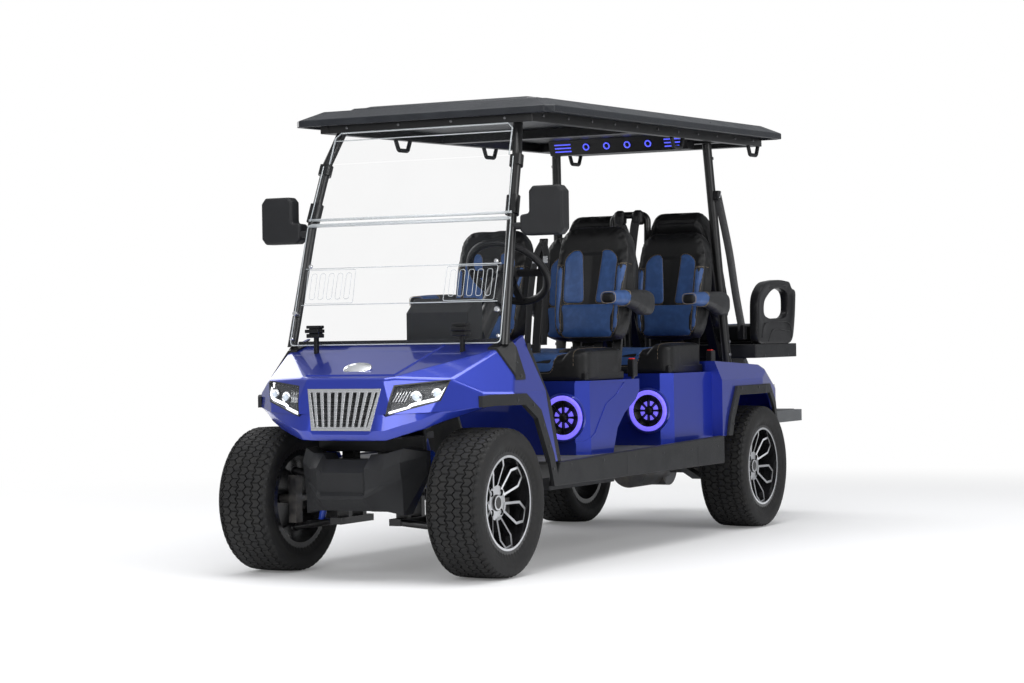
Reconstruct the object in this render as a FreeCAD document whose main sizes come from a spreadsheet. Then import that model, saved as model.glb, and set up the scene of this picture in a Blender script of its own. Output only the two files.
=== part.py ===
import FreeCAD, Part
import math
import os

import Sketcher

# Golf cart with two forward rows and one rear-facing bench, modelled about its front axle:
# x to the vehicle's left, y rearwards, z up from the ground. Each sub-part is then placed so
# that the origin is the middle of the whole on the ground.

SIZES = {
    # whole vehicle
    "wheelbase": 2512,
    "front_reach": 291,
    "rear_reach": 813,
    "running_gap": 6,
    "seat_gap": 0.3,
    "overrun": 40,
    # wheels
    "tyre_radius": 281,
    "tyre_width": 224,
    "half_track": 456,
    "bead_radius": 178,
    "rim_flange_radius": 194,
    "rim_width": 192,
    "rim_wall": 9,
    "rim_face_depth": 34,
    "spoke_depth": 22,
    "spoke_band": 9.5,
    "spoke_lean": 15.7,
    "hub_radius": 66,
    "hub_depth": 41,
    "hub_bore_radius": 18,
    "cap_radius": 31,
    "cap_rise": 8,
    "lug_circle_radius": 50.8,
    "lug_pocket_radius": 12.5,
    "lug_pocket_depth": 13,
    "lug_nut_radius": 8,
    "lug_nut_length": 9,
    "disc_radius": 118,
    "disc_thickness": 8,
    # knuckles and steering
    "kingpin_half_track": 388,
    "upright_half_height": 92,
    "upright_depth": 44,
    "upright_width": 34,
    "spindle_radius": 17.95,
    "caliper_length": 50,
    "caliper_width": 56,
    "caliper_height": 62,
    "caliper_reach": 20,
    "steering_arm_length": 118,
    "steering_arm_height": 20,
    "wheel_offset_x": 235,
    "wheel_centre_y": 624,
    "wheel_centre_z": 1155,
    "column_angle": 45,
    "hand_wheel_radius": 178,
    "hand_wheel_grip": 15,
    "hand_wheel_hub_radius": 48,
    "hand_wheel_hub_depth": 40,
    "hand_wheel_spoke_width": 30,
    "hand_wheel_spoke_depth": 12,
    "column_radius": 38,
    "column_length": 420,
    "column_cowl_radius": 50,
    "column_cowl_length": 120,
    # suspension
    "arm_radius": 13,
    "arm_spread": 105,
    "lower_arm_z": 208,
    "upper_arm_z": 356,
    "spring_radius": 34,
    "spring_rod_radius": 13,
    "spring_wire": 6,
    "spring_turns": 6,
    "shock_foot_x": 268,
    "shock_top_x": 196,
    "shock_top_z": 520,
    "rack_radius": 22,
    "rack_half_length": 150,
    "tie_rod_radius": 8,
    "axle_tube_radius": 36,
    "axle_half_length": 330,
    "diff_radius": 95,
    "diff_width": 150,
    "motor_radius": 92,
    "motor_length": 196,
    "leaf_width": 50,
    "leaf_thickness": 22,
    "leaf_half_length": 330,
    "leaf_x": 262,
    "drum_radius": 110,
    "drum_width": 46,
    # chassis
    "rail_x": 262,
    "rail_width": 50,
    "rail_height": 76,
    "rail_bottom": 322,
    "front_rail_x": 130,
    "front_rail_end": 340,
    "rail_rear": 520,
    "cross_width": 60,
    "battery_length": 620,
    "battery_y": 950,
    "battery_bottom": 262,
    # floor
    "floor_z": 414,
    "floor_thickness": 12,
    "floor_inset": 22,
    "floor_front": 352,
    "toe_top_y": 228,
    "toe_top_z": 640,
    "toe_half_width": 205,
    # rocker panels
    "rocker_inset": -11,
    "rocker_thickness": 30,
    "rocker_front_top": 394,
    "rocker_front_bottom": 344,
    "rocker_bottom_z": 322,
    "rocker_front_z": 413,
    "rocker_rear_z": 444,
    "rocker_rear_inset": 500,
    # front body
    "panel_wall": 6,
    "nose_round": 24,
    "tail_round": 26,
    "hood_rise": 5,
    "hood_bevel": 7,
    "hood_front_x": 198,
    "hood_back_x": 212,
    "hood_front_y": -218,
    "hood_back_y": 152,
    "body_half_width": 560,
    "chin_x": 134,
    "chin_y": -303,
    "chin_z": 527,
    "grille_top_x": 161,
    "grille_top_y": -254,
    "grille_top_z": 714,
    "grille_low_x": 129,
    "grille_low_y": -284,
    "grille_low_z": 558,
    "grille_frame": 14,
    "grille_depth": 26,
    "grille_bar": 15,
    "lamp_inner_x": 206,
    "lamp_inner_y": -239,
    "lamp_inner_z": 726,
    "lamp_inner_low_x": 187,
    "lamp_inner_low_y": -286,
    "lamp_inner_low_z": 611,
    "lamp_outer_inset": 159,
    "lamp_outer_y": -153,
    "lamp_outer_z": 745,
    "lamp_outer_low_inset": 185,
    "lamp_outer_low_y": -187,
    "lamp_outer_low_z": 665,
    "lamp_depth": 60,
    "lamp_rim": 5,
    "lamp_sink": 22,
    "lamp_light": 11,
    "nose_x": 195,
    "nose_y": -229,
    "nose_z": 756,
    "hood_rear_y": 160,
    "hood_rear_z": 872,
    "shoulder_inset": 85,
    "shoulder_y": 128,
    "shoulder_z": 865,
    "tip_inset": 80,
    "tip_y": -88,
    "tip_z": 632,
    "waist_y": 40,
    "waist_z": 690,
    "fender_top_inset": 55,
    "fender_top_z": 850,
    "fender_rear_top_y": 259,
    "fender_rear_mid_y": 309,
    "fender_rear_mid_z": 654,
    "fender_rear_low_y": 391,
    "fender_rear_low_z": 416,
    "arch_y": 15,
    "arch_z": 298,
    "arch_radius": 345,
    "flare_width": 42,
    "flare_depth": 14,
    # bumper
    "bumper_low_z": 242,
    "bumper_height": 250,
    "bumper_depth": 221,
    "bumper_half_width": 261,
    "bumper_wall": 12,
    # dashboard
    "dash_inset": 90,
    "dash_rear_y": 352,
    "dash_top_z": 892,
    "dash_low_z": 660,
    "pod_half_width": 138,
    "pod_x": 125,
    "pod_frame": 14,
    "pod_sink": 8,
    "pod_height": 160,
    "pod_depth": 122,
    # windshield
    "post_radius": 19,
    "post_base_inset": 85,
    "post_base_y": 128,
    "post_base_z": 872,
    "post_hinge_x": 450,
    "post_hinge_y": 254,
    "post_hinge_z": 1365,
    "post_clamp_x": 432,
    "post_clamp_y": 337,
    "post_clamp_z": 1596,
    "post_top_x": 400,
    "post_top_y": 411,
    "post_top_z": 1738,
    "post_bend": 60,
    "post_foot_gap": 5,
    "post_pad_rise": 8,
    "post_pad_inner_x": 427,
    "post_pad_outer_x": 547,
    "post_pad_front_y": 85,
    "post_pad_low_z": 736,
    "clamp_radius": 27,
    "clamp_length": 44,
    "hinge_length": 76,
    "glass_thickness": 5,
    "mirror_y": 258,
    "mirror_inner_x": 494,
    "mirror_low_z": 1282,
    "mirror_width": 187,
    "mirror_height": 188,
    "mirror_round": 12,
    "mirror_depth": 62,
    "mirror_arm_radius": 14,
    # roof
    "roof_half_width": 588,
    "roof_front_y": 330,
    "roof_rear": 232,
    "roof_lip_z": 1757,
    "roof_pitch": 1.18,
    "roof_height": 62,
    "roof_wall": 18,
    "roof_recess": 11,
    "roof_crown_inset": 74,
    "roof_panel_height": 14,
    "roof_panel_inset": 150,
    "roof_corner": 30,
    "roof_rail_inset": 122,
    "roof_rail_width": 34,
    "roof_rail_height": 40,
    "rear_post_x": 385,
    "rear_post_low_x": 430,
    "rear_post_top": -223,
    "rear_post_low": -118,
    "rear_post_radius": 21,
    "handle_radius": 9,
    "handle_length": 120,
    "handle_drop": 42,
    "light_bar_width": 700,
    "light_bar_depth": 108,
    "light_bar_height": 66,
    "light_bar_place": -372,
    "light_ring_radius": 17,
    "light_ring_rise": 4,
    # seat boxes and rear body
    "box_top_z": 714,
    "box_front_x": 460,
    "box_rear_x": 498,
    "box_corner": 46,
    "box_step": 3,
    "first_box_y": 845,
    "first_box_length": 435,
    "first_box_slant": 217,
    "second_box_front": -839,
    "second_box_rear_y": -462,
    "rear_top_z": 775,
    "rear_mid_y": 56,
    "rear_mid_z": 749,
    "rear_edge_y": 298,
    "rear_edge_z": 652,
    "rear_edge_x": 500,
    "rear_taper_y": 20,
    "rear_top_x": 512,
    "rear_low_z": 440,
    "rear_body_x": 548,
    "rear_arch_radius": 335,
    "rear_arch_z": 300,
    "speaker_x": 360,
    "speaker_z": 566,
    "speaker_radius": 100,
    "speaker_depth": 52,
    "speaker_bezel": 16,
    # forward seats
    "cushion_width": 453,
    "cushion_length": 400,
    "cushion_height": 126,
    "cushion_gap": 24,
    "cushion_round": 30,
    "cushion_corner": 56,
    "cushion_lead": -15,
    "second_box_rise": 14,
    "back_width": 358,
    "back_height": 500,
    "back_thickness": 112,
    "back_round": 34,
    "back_x": 245,
    "back_z": 868,
    "back_lean": 11,
    "first_back_y": 1343,
    "second_back_place": -342,
    "bracket_width": 40,
    "bracket_thickness": 12,
    "armrest_length": 425,
    "armrest_width": 72,
    "armrest_lead": 284,
    "armrest_height": 113,
    "armrest_round": 9,
    "armrest_x": 456,
    "armrest_z": 976,
    # rear-facing bench
    "tray_half_width": 486,
    "tray_front": 97,
    "tray_rear": 620,
    "tray_low_z": 780,
    "tray_top_z": 845,
    "rear_cushion_length": 400,
    "rear_cushion_height": 96,
    "rear_cushion_half_width": 418,
    "rear_back_low_y": 118,
    "rear_back_low_z": 946,
    "rear_back_top_y": -150,
    "rear_back_top_z": 1520,
    "rear_back_thickness": 96,
    "rear_back_width": 326,
    "rear_back_x": 196,
    "rear_armrest_x": 470,
    "rear_armrest_width": 44,
    "rear_armrest_top": 1152,
    "leg_radius": 19,
    "leg_x": 300,
    "leg_top_y": 372,
    "leg_bend_y": 476,
    "leg_bend_z": 677,
    "leg_foot_y": 522,
    "step_half_width": 440,
    "step_front": 401,
    "step_low_z": 462,
    "step_top_z": 517,
    "step_round": 24,
    "step_pad_inset": 40,
    "step_pad_gap": 27,
    "step_pad_rear": 20,
    "step_pad_rise": 3,
    "hoop_radius": 16,
    "hoop_x": 88,
    "hoop_foot_x": 52,
    "hoop_foot_y": -165,
    "hoop_waist_z": 1130,
    "hoop_shoulder_z": 1385,
    "hoop_top_z": 1454,
    "hoop_y": -232,
    "tail_lamp_height": 120,
    "tail_lamp_width": 46,
    "tail_lamp_depth": 26,
}

doc = FreeCAD.newDocument("GolfCart")
sheet = doc.addObject("Spreadsheet::Sheet", "Sizes")
for row, (alias, value) in enumerate(SIZES.items(), start=1):
    sheet.set("A%d" % row, alias)
    sheet.set("B%d" % row, str(value))
    sheet.setAlias("B%d" % row, alias)
doc.recompute()


class Sheet:
    """Reads a size of the spreadsheet by its alias."""

    def __getattr__(self, alias):
        return float(sheet.get(alias))


size = Sheet()
nodes = []
LEFT, RIGHT = 1, -1
SHIFT_RULE = "(Sizes.front_reach - Sizes.wheelbase - Sizes.rear_reach) / 2"


def vec(x, y, z):
    return FreeCAD.Vector(x, y, z)


def rear(offset):
    """A place measured from the rear axle."""
    return size.wheelbase + offset


def inboard(inset):
    """A place measured inwards from the body's side."""
    return size.body_half_width - inset


def rail_side():
    return size.roof_half_width - size.roof_rail_inset


def feature(label, shape):
    """A sub-part whose form is worked out by the functions below."""
    placed = shape.copy()
    placed.Placement = FreeCAD.Placement()
    placed.transformShape(shape.Placement.toMatrix(), True)
    obj = doc.addObject("Part::Feature", label)
    obj.Label = label
    obj.Shape = placed
    register(obj)
    return obj


def register(obj, x_rule=None, y_rule=None, z_rule=None):
    """Places a sub-part in the vehicle's frame and notes it as a node."""
    obj.setExpression("Placement.Base.y", SHIFT_RULE if y_rule is None else SHIFT_RULE + " + " + y_rule)
    if x_rule:
        obj.setExpression("Placement.Base.x", x_rule)
    if z_rule:
        obj.setExpression("Placement.Base.z", z_rule)
    nodes.append(obj)


def bind(obj, rules):
    for path, rule in rules.items():
        obj.setExpression(path, rule)
    return obj


def face(points):
    return Part.Face(Part.makePolygon(list(points) + [points[0]]))


def along_x(profile, start, end):
    """Extrudes a list of (y, z) from x = start to x = end."""
    return face([vec(start, y, z) for y, z in profile]).extrude(vec(end - start, 0, 0))


def along_y(profile, start, end):
    """Extrudes a list of (x, z) from y = start to y = end."""
    return face([vec(x, start, z) for x, z in profile]).extrude(vec(0, end - start, 0))


def along_z(profile, start, end):
    """Extrudes a list of (x, y) from z = start to z = end."""
    return face([vec(x, y, start) for x, y in profile]).extrude(vec(0, 0, end - start))


def block(x0, x1, y0, y1, z0, z1):
    return Part.makeBox(x1 - x0, y1 - y0, z1 - z0, vec(x0, y0, z0))


def centred_block(length, width, height, centre):
    return Part.makeBox(length, width, height, centre - vec(length, width, height) / 2)


def rod(start, end, radius):
    return Part.makeCylinder(radius, (end - start).Length, start, end - start)


def mirrored(shape):
    return shape.mirror(vec(0, 0, 0), vec(1, 0, 0))


def pair(shape):
    return Part.makeCompound([shape, mirrored(shape)])


def fuse(shapes):
    whole = shapes[0].multiFuse(shapes[1:]) if len(shapes) > 1 else shapes[0]
    return whole.removeSplitter()


def ruled(sections):
    """A solid through closed outlines with the same number of corners."""
    wires = [Part.makePolygon(list(points) + [points[0]]) for points in sections]
    return Part.makeLoft(wires, True, True)


def bent_path(points, bend):
    """Straight runs joined by tangent arcs of one radius, or less where the runs are short."""
    edges = []
    last = points[0]
    for before, corner, after in zip(points, points[1:], points[2:]):
        back, ahead = (before - corner), (after - corner)
        angle = back.getAngle(ahead)
        reach = min(bend / math.tan(angle / 2), back.Length / 2, ahead.Length / 2)
        back.normalize()
        ahead.normalize()
        enter, leave = corner + back * reach, corner + ahead * reach
        radius = reach * math.tan(angle / 2)
        bisector = (back + ahead).normalize()
        middle = corner + bisector * (radius / math.sin(angle / 2) - radius)
        if (enter - last).Length > size.seat_gap:
            edges.append(Part.LineSegment(last, enter).toShape())
        edges.append(Part.Arc(enter, middle, leave).toShape())
        last = leave
    edges.append(Part.LineSegment(last, points[-1]).toShape())
    return Part.Wire(edges)


def tube(points, radius, bend):
    path = bent_path(points, bend)
    ring = Part.Wire(Part.makeCircle(radius, points[0], points[1] - points[0]))
    return path.makePipeShell([ring], True, False)


def half_space(first, second, third, inside, inset):
    """A large block on the inner side of a plane through three points, moved in by the inset."""
    normal = (second - first).cross(third - first).normalize()
    if normal.dot(inside - first) > 0:
        normal = normal * -1
    reach = size.wheelbase
    slab = Part.makeBox(2 * reach, 2 * reach, reach, vec(-reach, -reach, -reach))
    slab.Placement = FreeCAD.Placement(first - normal * inset, FreeCAD.Rotation(vec(0, 0, 1), normal))
    return slab


def origin_plane(body, role):
    return next(item for item in body.Origin.OriginFeatures if item.Role == role)


def outline_sketch(body, name, role, rules):
    """A closed outline whose corners are held by expressions of the sheet."""
    sketch = body.newObject("Sketcher::SketchObject", name)
    sketch.AttachmentSupport = (origin_plane(body, role), [""])
    sketch.MapMode = "FlatFace"
    places = [tuple(float(sketch.evalExpression(rule)) for rule in corner) for corner in rules]
    count = len(places)
    for index, (x, y) in enumerate(places):
        next_x, next_y = places[(index + 1) % count]
        sketch.addGeometry(Part.LineSegment(vec(x, y, 0), vec(next_x, next_y, 0)), False)
    for index in range(count):
        sketch.addConstraint(Sketcher.Constraint("Coincident", index, 2, (index + 1) % count, 1))
    for index, (corner, place) in enumerate(zip(rules, places)):
        for kind, rule, value in zip(("DistanceX", "DistanceY"), corner, place):
            number = sketch.addConstraint(Sketcher.Constraint(kind, -1, 1, index, 1, value))
            sketch.setExpression("Constraints[%d]" % number, rule)
    return sketch


def revolved_body(label, rules):
    """A Body turned about its own x axis from corners given as (along the axle, radius)."""
    body = doc.addObject("PartDesign::Body", label)
    body.Label = label
    sketch = outline_sketch(body, label + "_section", "XY_Plane", rules)
    turned = body.newObject("PartDesign::Revolution", label + "_turned")
    turned.Profile = (sketch, [""])
    turned.ReferenceAxis = (sketch, ["H_Axis"])
    turned.Angle = 360
    return body


def padded_body(label, role, rules, length_rule, round_rule):
    """A Body padded both ways from a plane, with all its long edges rounded."""
    body = doc.addObject("PartDesign::Body", label)
    body.Label = label
    sketch = outline_sketch(body, label + "_outline", role, rules)
    pad = body.newObject("PartDesign::Pad", label + "_pad")
    pad.Profile = (sketch, [""])
    pad.setExpression("Length", length_rule)
    pad.Midplane = True
    doc.recompute()
    if round_rule:
        fillet = body.newObject("PartDesign::Fillet", label + "_rounding")
        fillet.Base = (pad, ["Edge%d" % (i + 1) for i in range(len(pad.Shape.Edges))])
        fillet.setExpression("Radius", round_rule)
        body.Tip = fillet
    return body


# Wheels

TYRE_SECTION_SHARES = ((0.48, 0.3), (0.5, 0.6), (0.455, 0.9), (0.36, 1.0))
WHEELS = (("front_left", LEFT, 0), ("front_right", RIGHT, 0), ("rear_left", LEFT, 1),
          ("rear_right", RIGHT, 1))
SPOKES = 6


def wheel_rules(side, at_rear):
    x_rule = "Sizes.half_track * %d" % side
    y_rule = "Sizes.wheelbase * %d" % at_rear
    return x_rule, y_rule, "Sizes.tyre_radius"


def add_tyre(name, side, at_rear):
    depth = "(Sizes.tyre_radius - Sizes.bead_radius)"
    bead = "Sizes.rim_width / 2 - Sizes.rim_wall - Sizes.seat_gap"
    half = [(bead, "Sizes.bead_radius + Sizes.seat_gap"),
            (bead, "Sizes.rim_flange_radius + Sizes.seat_gap")]
    half += [("Sizes.tyre_width * %g" % across, "Sizes.bead_radius + %s * %g" % (depth, up))
             for across, up in TYRE_SECTION_SHARES]
    other = [("-(%s)" % across, up) for across, up in reversed(half)]
    body = revolved_body("tyre_" + name, half + other)
    register(body, *wheel_rules(side, at_rear))


def hub_face_x():
    """How far the hub's face lies outboard of the wheel's middle: the leaned spokes sink it."""
    run = size.bead_radius * (LOOP_SHARES[-1][0] - LOOP_SHARES[0][0])
    sunk = run * math.tan(math.radians(size.spoke_lean))
    return size.rim_width / 2 - size.rim_face_depth / 2 - sunk


def hub_inner_x():
    return hub_face_x() - size.hub_depth


def spindle_end_x():
    return size.half_track + hub_face_x() - 2 * size.rim_wall


def rim_barrel():
    half, wall = size.rim_width / 2, size.rim_wall
    bead, flange = size.bead_radius, size.rim_flange_radius
    section = [(-half, bead - wall), (-half, flange), (-half + wall, flange), (-half + wall, bead),
               (half - wall, bead), (half - wall, flange), (half, flange), (half, bead - wall)]
    return face([vec(x, 0, r) for x, r in section]).revolve(vec(0, 0, 0), vec(1, 0, 0), 360)


def spoke_loop():
    """One long six-sided loop of the wheel's face, pointing up, sunk towards the hub."""
    bead = size.bead_radius
    half = [(across * bead, up * bead) for up, across in LOOP_SHARES]
    corners = half + [(-across, up) for across, up in reversed(half)]
    outer = size.rim_width / 2 - size.rim_face_depth / 2
    flat = Part.makePolygon([vec(outer, across, up) for across, up in corners + corners[:1]])
    ring = Part.Face(flat).cut(Part.Face(flat.makeOffset2D(-size.spoke_band)))
    loop = ring.extrude(vec(-size.spoke_depth, 0, 0))
    loop.rotate(vec(outer, 0, bead * LOOP_SHARES[-1][0]), vec(0, 1, 0), size.spoke_lean)
    return loop


def rim_shape(side, brake):
    """Barrel with both flanges, sunk hub with cap and nuts, brake rotor, and six spoke loops."""
    axis, middle = vec(1, 0, 0), vec(0, 0, 0)
    face_x, inner_x = hub_face_x(), hub_inner_x()
    radius, depth = brake
    pieces = [rim_barrel(), Part.makeCylinder(size.hub_radius, size.hub_depth, vec(inner_x, 0, 0), axis),
              Part.makeCylinder(radius, depth, vec(inner_x - depth, 0, 0), axis)]
    inside = Part.makeCylinder(size.bead_radius - size.rim_wall / 2, size.rim_width, vec(0, 0, 0), axis)
    for index in range(SPOKES):
        loop = spoke_loop().common(inside)
        loop.rotate(middle, axis, index * 360 / SPOKES + FIRST_LOOP_ANGLE)
        pieces.append(loop)
    whole = fuse(pieces)
    bore_length = inner_x - depth - size.overrun
    bore = Part.makeCylinder(size.hub_bore_radius, face_x - size.rim_wall - bore_length,
                             vec(bore_length, 0, 0), axis)
    pockets, nuts = [], []
    for index in range(LUGS):
        place = polar(size.lug_circle_radius, math.radians((index + 0.5) * 360 / LUGS))
        floor_x = face_x - size.lug_pocket_depth
        pockets.append(Part.makeCylinder(size.lug_pocket_radius, size.overrun, vec(floor_x, 0, 0) + place,
                                         axis))
        nuts.append(Part.makeCylinder(size.lug_nut_radius, size.lug_nut_length,
                                      vec(floor_x, 0, 0) + place, axis))
    cap = Part.makeCylinder(size.cap_radius, size.cap_rise, vec(face_x, 0, 0), axis)
    cap = cap.makeFillet(size.cap_rise / 2, [edge for edge in cap.Edges if edge.BoundBox.XMin > face_x])
    whole = fuse([whole.cut(bore).cut(Part.makeCompound(pockets)), cap] + nuts)
    return whole if side == LEFT else mirrored(whole)


LOOP_SHARES = ((0.29, 0.105), (0.74, 0.26), (0.97, 0.145))
FIRST_LOOP_ANGLE = 10.5
LUGS = 4


def polar(radius, angle):
    return vec(0, radius * math.sin(angle), radius * math.cos(angle))


def add_rim(name, side, at_rear):
    brake = (size.drum_radius, size.drum_width) if at_rear else (size.disc_radius, size.disc_thickness)
    obj = doc.addObject("Part::Feature", "rim_" + name)
    obj.Label = "rim_" + name
    obj.Shape = rim_shape(side, brake)
    register(obj, *wheel_rules(side, at_rear))


for wheel_name, wheel_side, wheel_at_rear in WHEELS:
    add_tyre(wheel_name, wheel_side, wheel_at_rear)
    add_rim(wheel_name, wheel_side, wheel_at_rear)


# Knuckles

def rack_height():
    return size.rail_bottom - size.rack_radius - size.seat_gap

def knuckle_shape():
    """Upright between the ball joints, with spindle, caliper and steering arm."""
    axle = vec(size.kingpin_half_track, 0, size.tyre_radius)
    upright = centred_block(size.upright_width, size.upright_depth, 2 * size.upright_half_height, axle)
    spindle = rod(axle, vec(spindle_end_x(), 0, size.tyre_radius), size.spindle_radius)
    disc_plane = size.half_track + hub_inner_x() - size.disc_thickness / 2
    arm_top = rack_height() - size.tie_rod_radius - size.seat_gap
    arm_low = arm_top - size.steering_arm_height
    caliper_y = size.disc_radius + size.caliper_reach - size.caliper_width / 2
    caliper = centred_block(size.caliper_length, size.caliper_width, size.caliper_height,
                            vec(disc_plane, caliper_y, arm_top - size.caliper_height / 2))
    slot_room = size.disc_thickness + 2 * size.running_gap
    slot = Part.makeCylinder(size.disc_radius + size.running_gap, slot_room,
                             vec(disc_plane - slot_room / 2, 0, size.tyre_radius), vec(1, 0, 0))
    caliper = caliper.cut(slot)
    half = size.upright_width / 2
    reach = disc_plane - size.caliper_length / 2 + size.rim_wall
    bracket = block(min(size.kingpin_half_track, reach - half), reach, 0, caliper_y, arm_low, arm_top)
    arm = block(size.kingpin_half_track - half, size.kingpin_half_track + half, 0, size.steering_arm_length,
                arm_low, arm_top)
    return fuse([upright, spindle, arm, caliper, bracket])


for knuckle_name, knuckle_side in (("left", LEFT), ("right", RIGHT)):
    knuckle = knuckle_shape()
    feature("knuckle_" + knuckle_name, knuckle if knuckle_side == LEFT else mirrored(knuckle))


# Front suspension, steering rack and rear axle

def suspension_arms():
    """Two A-shaped arms a side, from the frame to the ball joints of the upright."""
    parts = []
    for height, end_z in ((size.lower_arm_z, -1), (size.upper_arm_z, 1)):
        knob_radius = size.arm_radius * BALL_SHARE
        joint_z = size.tyre_radius + end_z * (size.upright_half_height + knob_radius + size.seat_gap)
        ball = vec(size.kingpin_half_track, 0, joint_z)
        inner_x = size.front_rail_x + size.rail_width / 2 + size.seat_gap
        legs = [rod(vec(inner_x - size.arm_radius, way * size.arm_spread, height), ball, size.arm_radius)
                for way in (-1, 1)]
        arm = fuse(legs + [Part.makeSphere(knob_radius, ball)])
        if end_z < 0:
            arm = arm.fuse(spring_seat(height, ball))
        frame_side = block(0, inner_x, -size.arm_spread * 2, size.arm_spread * 2, 0, size.shock_top_z)
        parts.append(arm.cut(frame_side).removeSplitter())
    return Part.makeCompound(parts + [mirrored(part) for part in parts])


def spring_seat(height, ball):
    """Plate across the lower arm under the damper's foot."""
    inner_x = size.front_rail_x + size.rail_width / 2
    share = (ball.x - size.shock_foot_x) / (ball.x - inner_x)
    middle = ball.z + (height - ball.z) * share
    half_y = size.arm_spread * share
    half_x = size.spring_radius
    return block(size.shock_foot_x - half_x, size.shock_foot_x + half_x, -half_y, half_y,
                 middle - size.arm_radius / 2, middle + size.arm_radius)


BALL_SHARE = 1.3
SHOCK_BODY_SHARE = (0.16, 0.84)


def shocks():
    """Coil-over dampers from the lower arms to the frame."""
    knob_z = size.tyre_radius - size.upright_half_height - size.arm_radius * BALL_SHARE - size.seat_gap
    inner_x = size.front_rail_x + size.rail_width / 2
    share = (size.kingpin_half_track - size.shock_foot_x) / (size.kingpin_half_track - inner_x)
    foot_z = knob_z + (size.lower_arm_z - knob_z) * share + size.arm_radius + size.seat_gap
    foot = vec(size.shock_foot_x, 0, foot_z)
    top = vec(size.shock_top_x, 0, size.shock_top_z)
    way = top - foot
    start, end = foot + way * SHOCK_BODY_SHARE[0], foot + way * SHOCK_BODY_SHARE[1]
    core = rod(foot - way * SHOCK_BODY_SHARE[0], top + way * SHOCK_BODY_SHARE[0], size.spring_rod_radius)
    reach = size.kingpin_half_track
    core = core.common(block(0, reach, -reach, reach, foot.z, top.z))
    turns, pitch = int(size.spring_turns), (end - start).Length / size.spring_turns
    section = [(0, 0)]
    for turn in range(turns):
        section += [(size.spring_radius - 2 * size.spring_wire, turn * pitch),
                    (size.spring_radius, (turn + 0.5) * pitch)]
    section += [(size.spring_radius - 2 * size.spring_wire, turns * pitch), (0, turns * pitch)]
    spring = face([vec(r, 0, along) for r, along in section]).revolve(vec(0, 0, 0), vec(0, 0, 1), 360)
    spring.Placement = FreeCAD.Placement(start, FreeCAD.Rotation(vec(0, 0, 1), way))
    return pair(fuse([core, spring]))


def steering_rack():
    """Rack tube across the frame with a tie rod to each steering arm."""
    y, z = size.steering_arm_length - size.steering_arm_height / 2, rack_height()
    housing = rod(vec(-size.rack_half_length, y, z), vec(size.rack_half_length, y, z), size.rack_radius)
    reach = size.kingpin_half_track
    low, high = z - size.tie_rod_radius, z + size.tie_rod_radius
    rods = [rod(vec(-reach, y, z), vec(reach, y, z), size.tie_rod_radius)]
    rods += [rod(vec(side * reach, y, low), vec(side * reach, y, high),
                 size.arm_radius) for side in (LEFT, RIGHT)]
    return fuse([housing] + rods)


def rear_axle():
    """Axle tube with differential, and the electric motor on its front."""
    y, z = size.wheelbase, size.tyre_radius
    spread = size.axle_half_length
    axle = rod(vec(-spread, y, z), vec(spread, y, z), size.axle_tube_radius)
    housing = rod(vec(-size.diff_width / 2, y, z), vec(size.diff_width / 2, y, z), size.diff_radius)
    motor = rod(vec(0, y, z), vec(0, y - size.diff_radius - size.motor_length, z), size.motor_radius)
    ends = [rod(vec(side * spread, y, z), vec(side * spindle_end_x(), y, z), size.spindle_radius)
            for side in (LEFT, RIGHT)]
    return fuse([axle, housing, motor] + ends)


def leaf_springs():
    y, z = size.wheelbase, size.tyre_radius - size.axle_tube_radius - size.seat_gap
    profile = [(y - size.leaf_half_length, size.rail_bottom),
               (y - size.leaf_half_length * LEAF_BEND_SHARE, z),
               (y + size.leaf_half_length * LEAF_BEND_SHARE, z),
               (y + size.leaf_half_length, size.rail_bottom)]
    lower = [(py, pz - size.leaf_thickness) for py, pz in reversed(profile)]
    return pair(along_x(profile + lower, size.leaf_x - size.leaf_width / 2,
                        size.leaf_x + size.leaf_width / 2))


LEAF_BEND_SHARE = 0.3

feature("suspension_arms", suspension_arms())
feature("shock_absorbers", shocks())
feature("steering_rack", steering_rack())
feature("rear_axle", rear_axle())
feature("leaf_springs", leaf_springs())


# Chassis

# Each row: share of the half width, then the outline from the top rear corner forwards and down,
# in shares of the depth behind the foremost line and of the height over the lowest one.
BUMPER_SECTION_SHARES = (
    (0.352, ((0.64, 0.83), (0.235, 0.83), (0.055, 0.64), (0.07, 0.35),
             (0.0, 0.3), (0.0, 0.25), (0.27, 0.064), (0.64, 0.064))),
    (0.398, ((0.64, 0.91), (0.24, 0.91), (0.0, 0.71), (0.02, 0.38),
             (0.0, 0.32), (0.0, 0.27), (0.27, 0.06), (0.64, 0.06))),
    (0.605, ((0.68, 0.92), (0.31, 0.92), (0.176, 0.69), (0.19, 0.48),
             (0.155, 0.45), (0.165, 0.4), (0.345, 0.056), (0.68, 0.056))),
    (0.812, ((0.82, 1.0), (0.46, 0.99), (0.345, 0.79), (0.39, 0.55),
             (0.41, 0.51), (0.42, 0.47), (0.46, 0.0), (0.77, 0.0))),
    (1.0, ((1.0, 0.93), (0.91, 0.92), (0.86, 0.86), (0.86, 0.78),
           (0.865, 0.74), (0.87, 0.7), (0.9, 0.6), (1.0, 0.6))),
)


def bumper_sections(inset):
    """Upright sections of the bumper from its middle to a wing's tip, drawn in by the inset."""
    front = -size.front_reach
    sections = []
    for across, outline in BUMPER_SECTION_SHARES:
        x = across * size.bumper_half_width - (inset if across == 1 else 0)
        tall = [size.bumper_low_z + up * size.bumper_height for along, up in outline]
        deep = [front + along * size.bumper_depth for along, up in outline]
        middle = (max(tall) + min(tall)) / 2
        squeeze = 1 - 2 * inset / (max(tall) - min(tall))
        sections.append([vec(x, y + inset, middle + (z - middle) * squeeze) for y, z in zip(deep, tall)])
    return sections


def bumper_form(inset):
    half = bumper_sections(inset)
    other = [[vec(-p.x, p.y, p.z) for p in section] for section in reversed(half)]
    return ruled(other + half)


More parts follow.
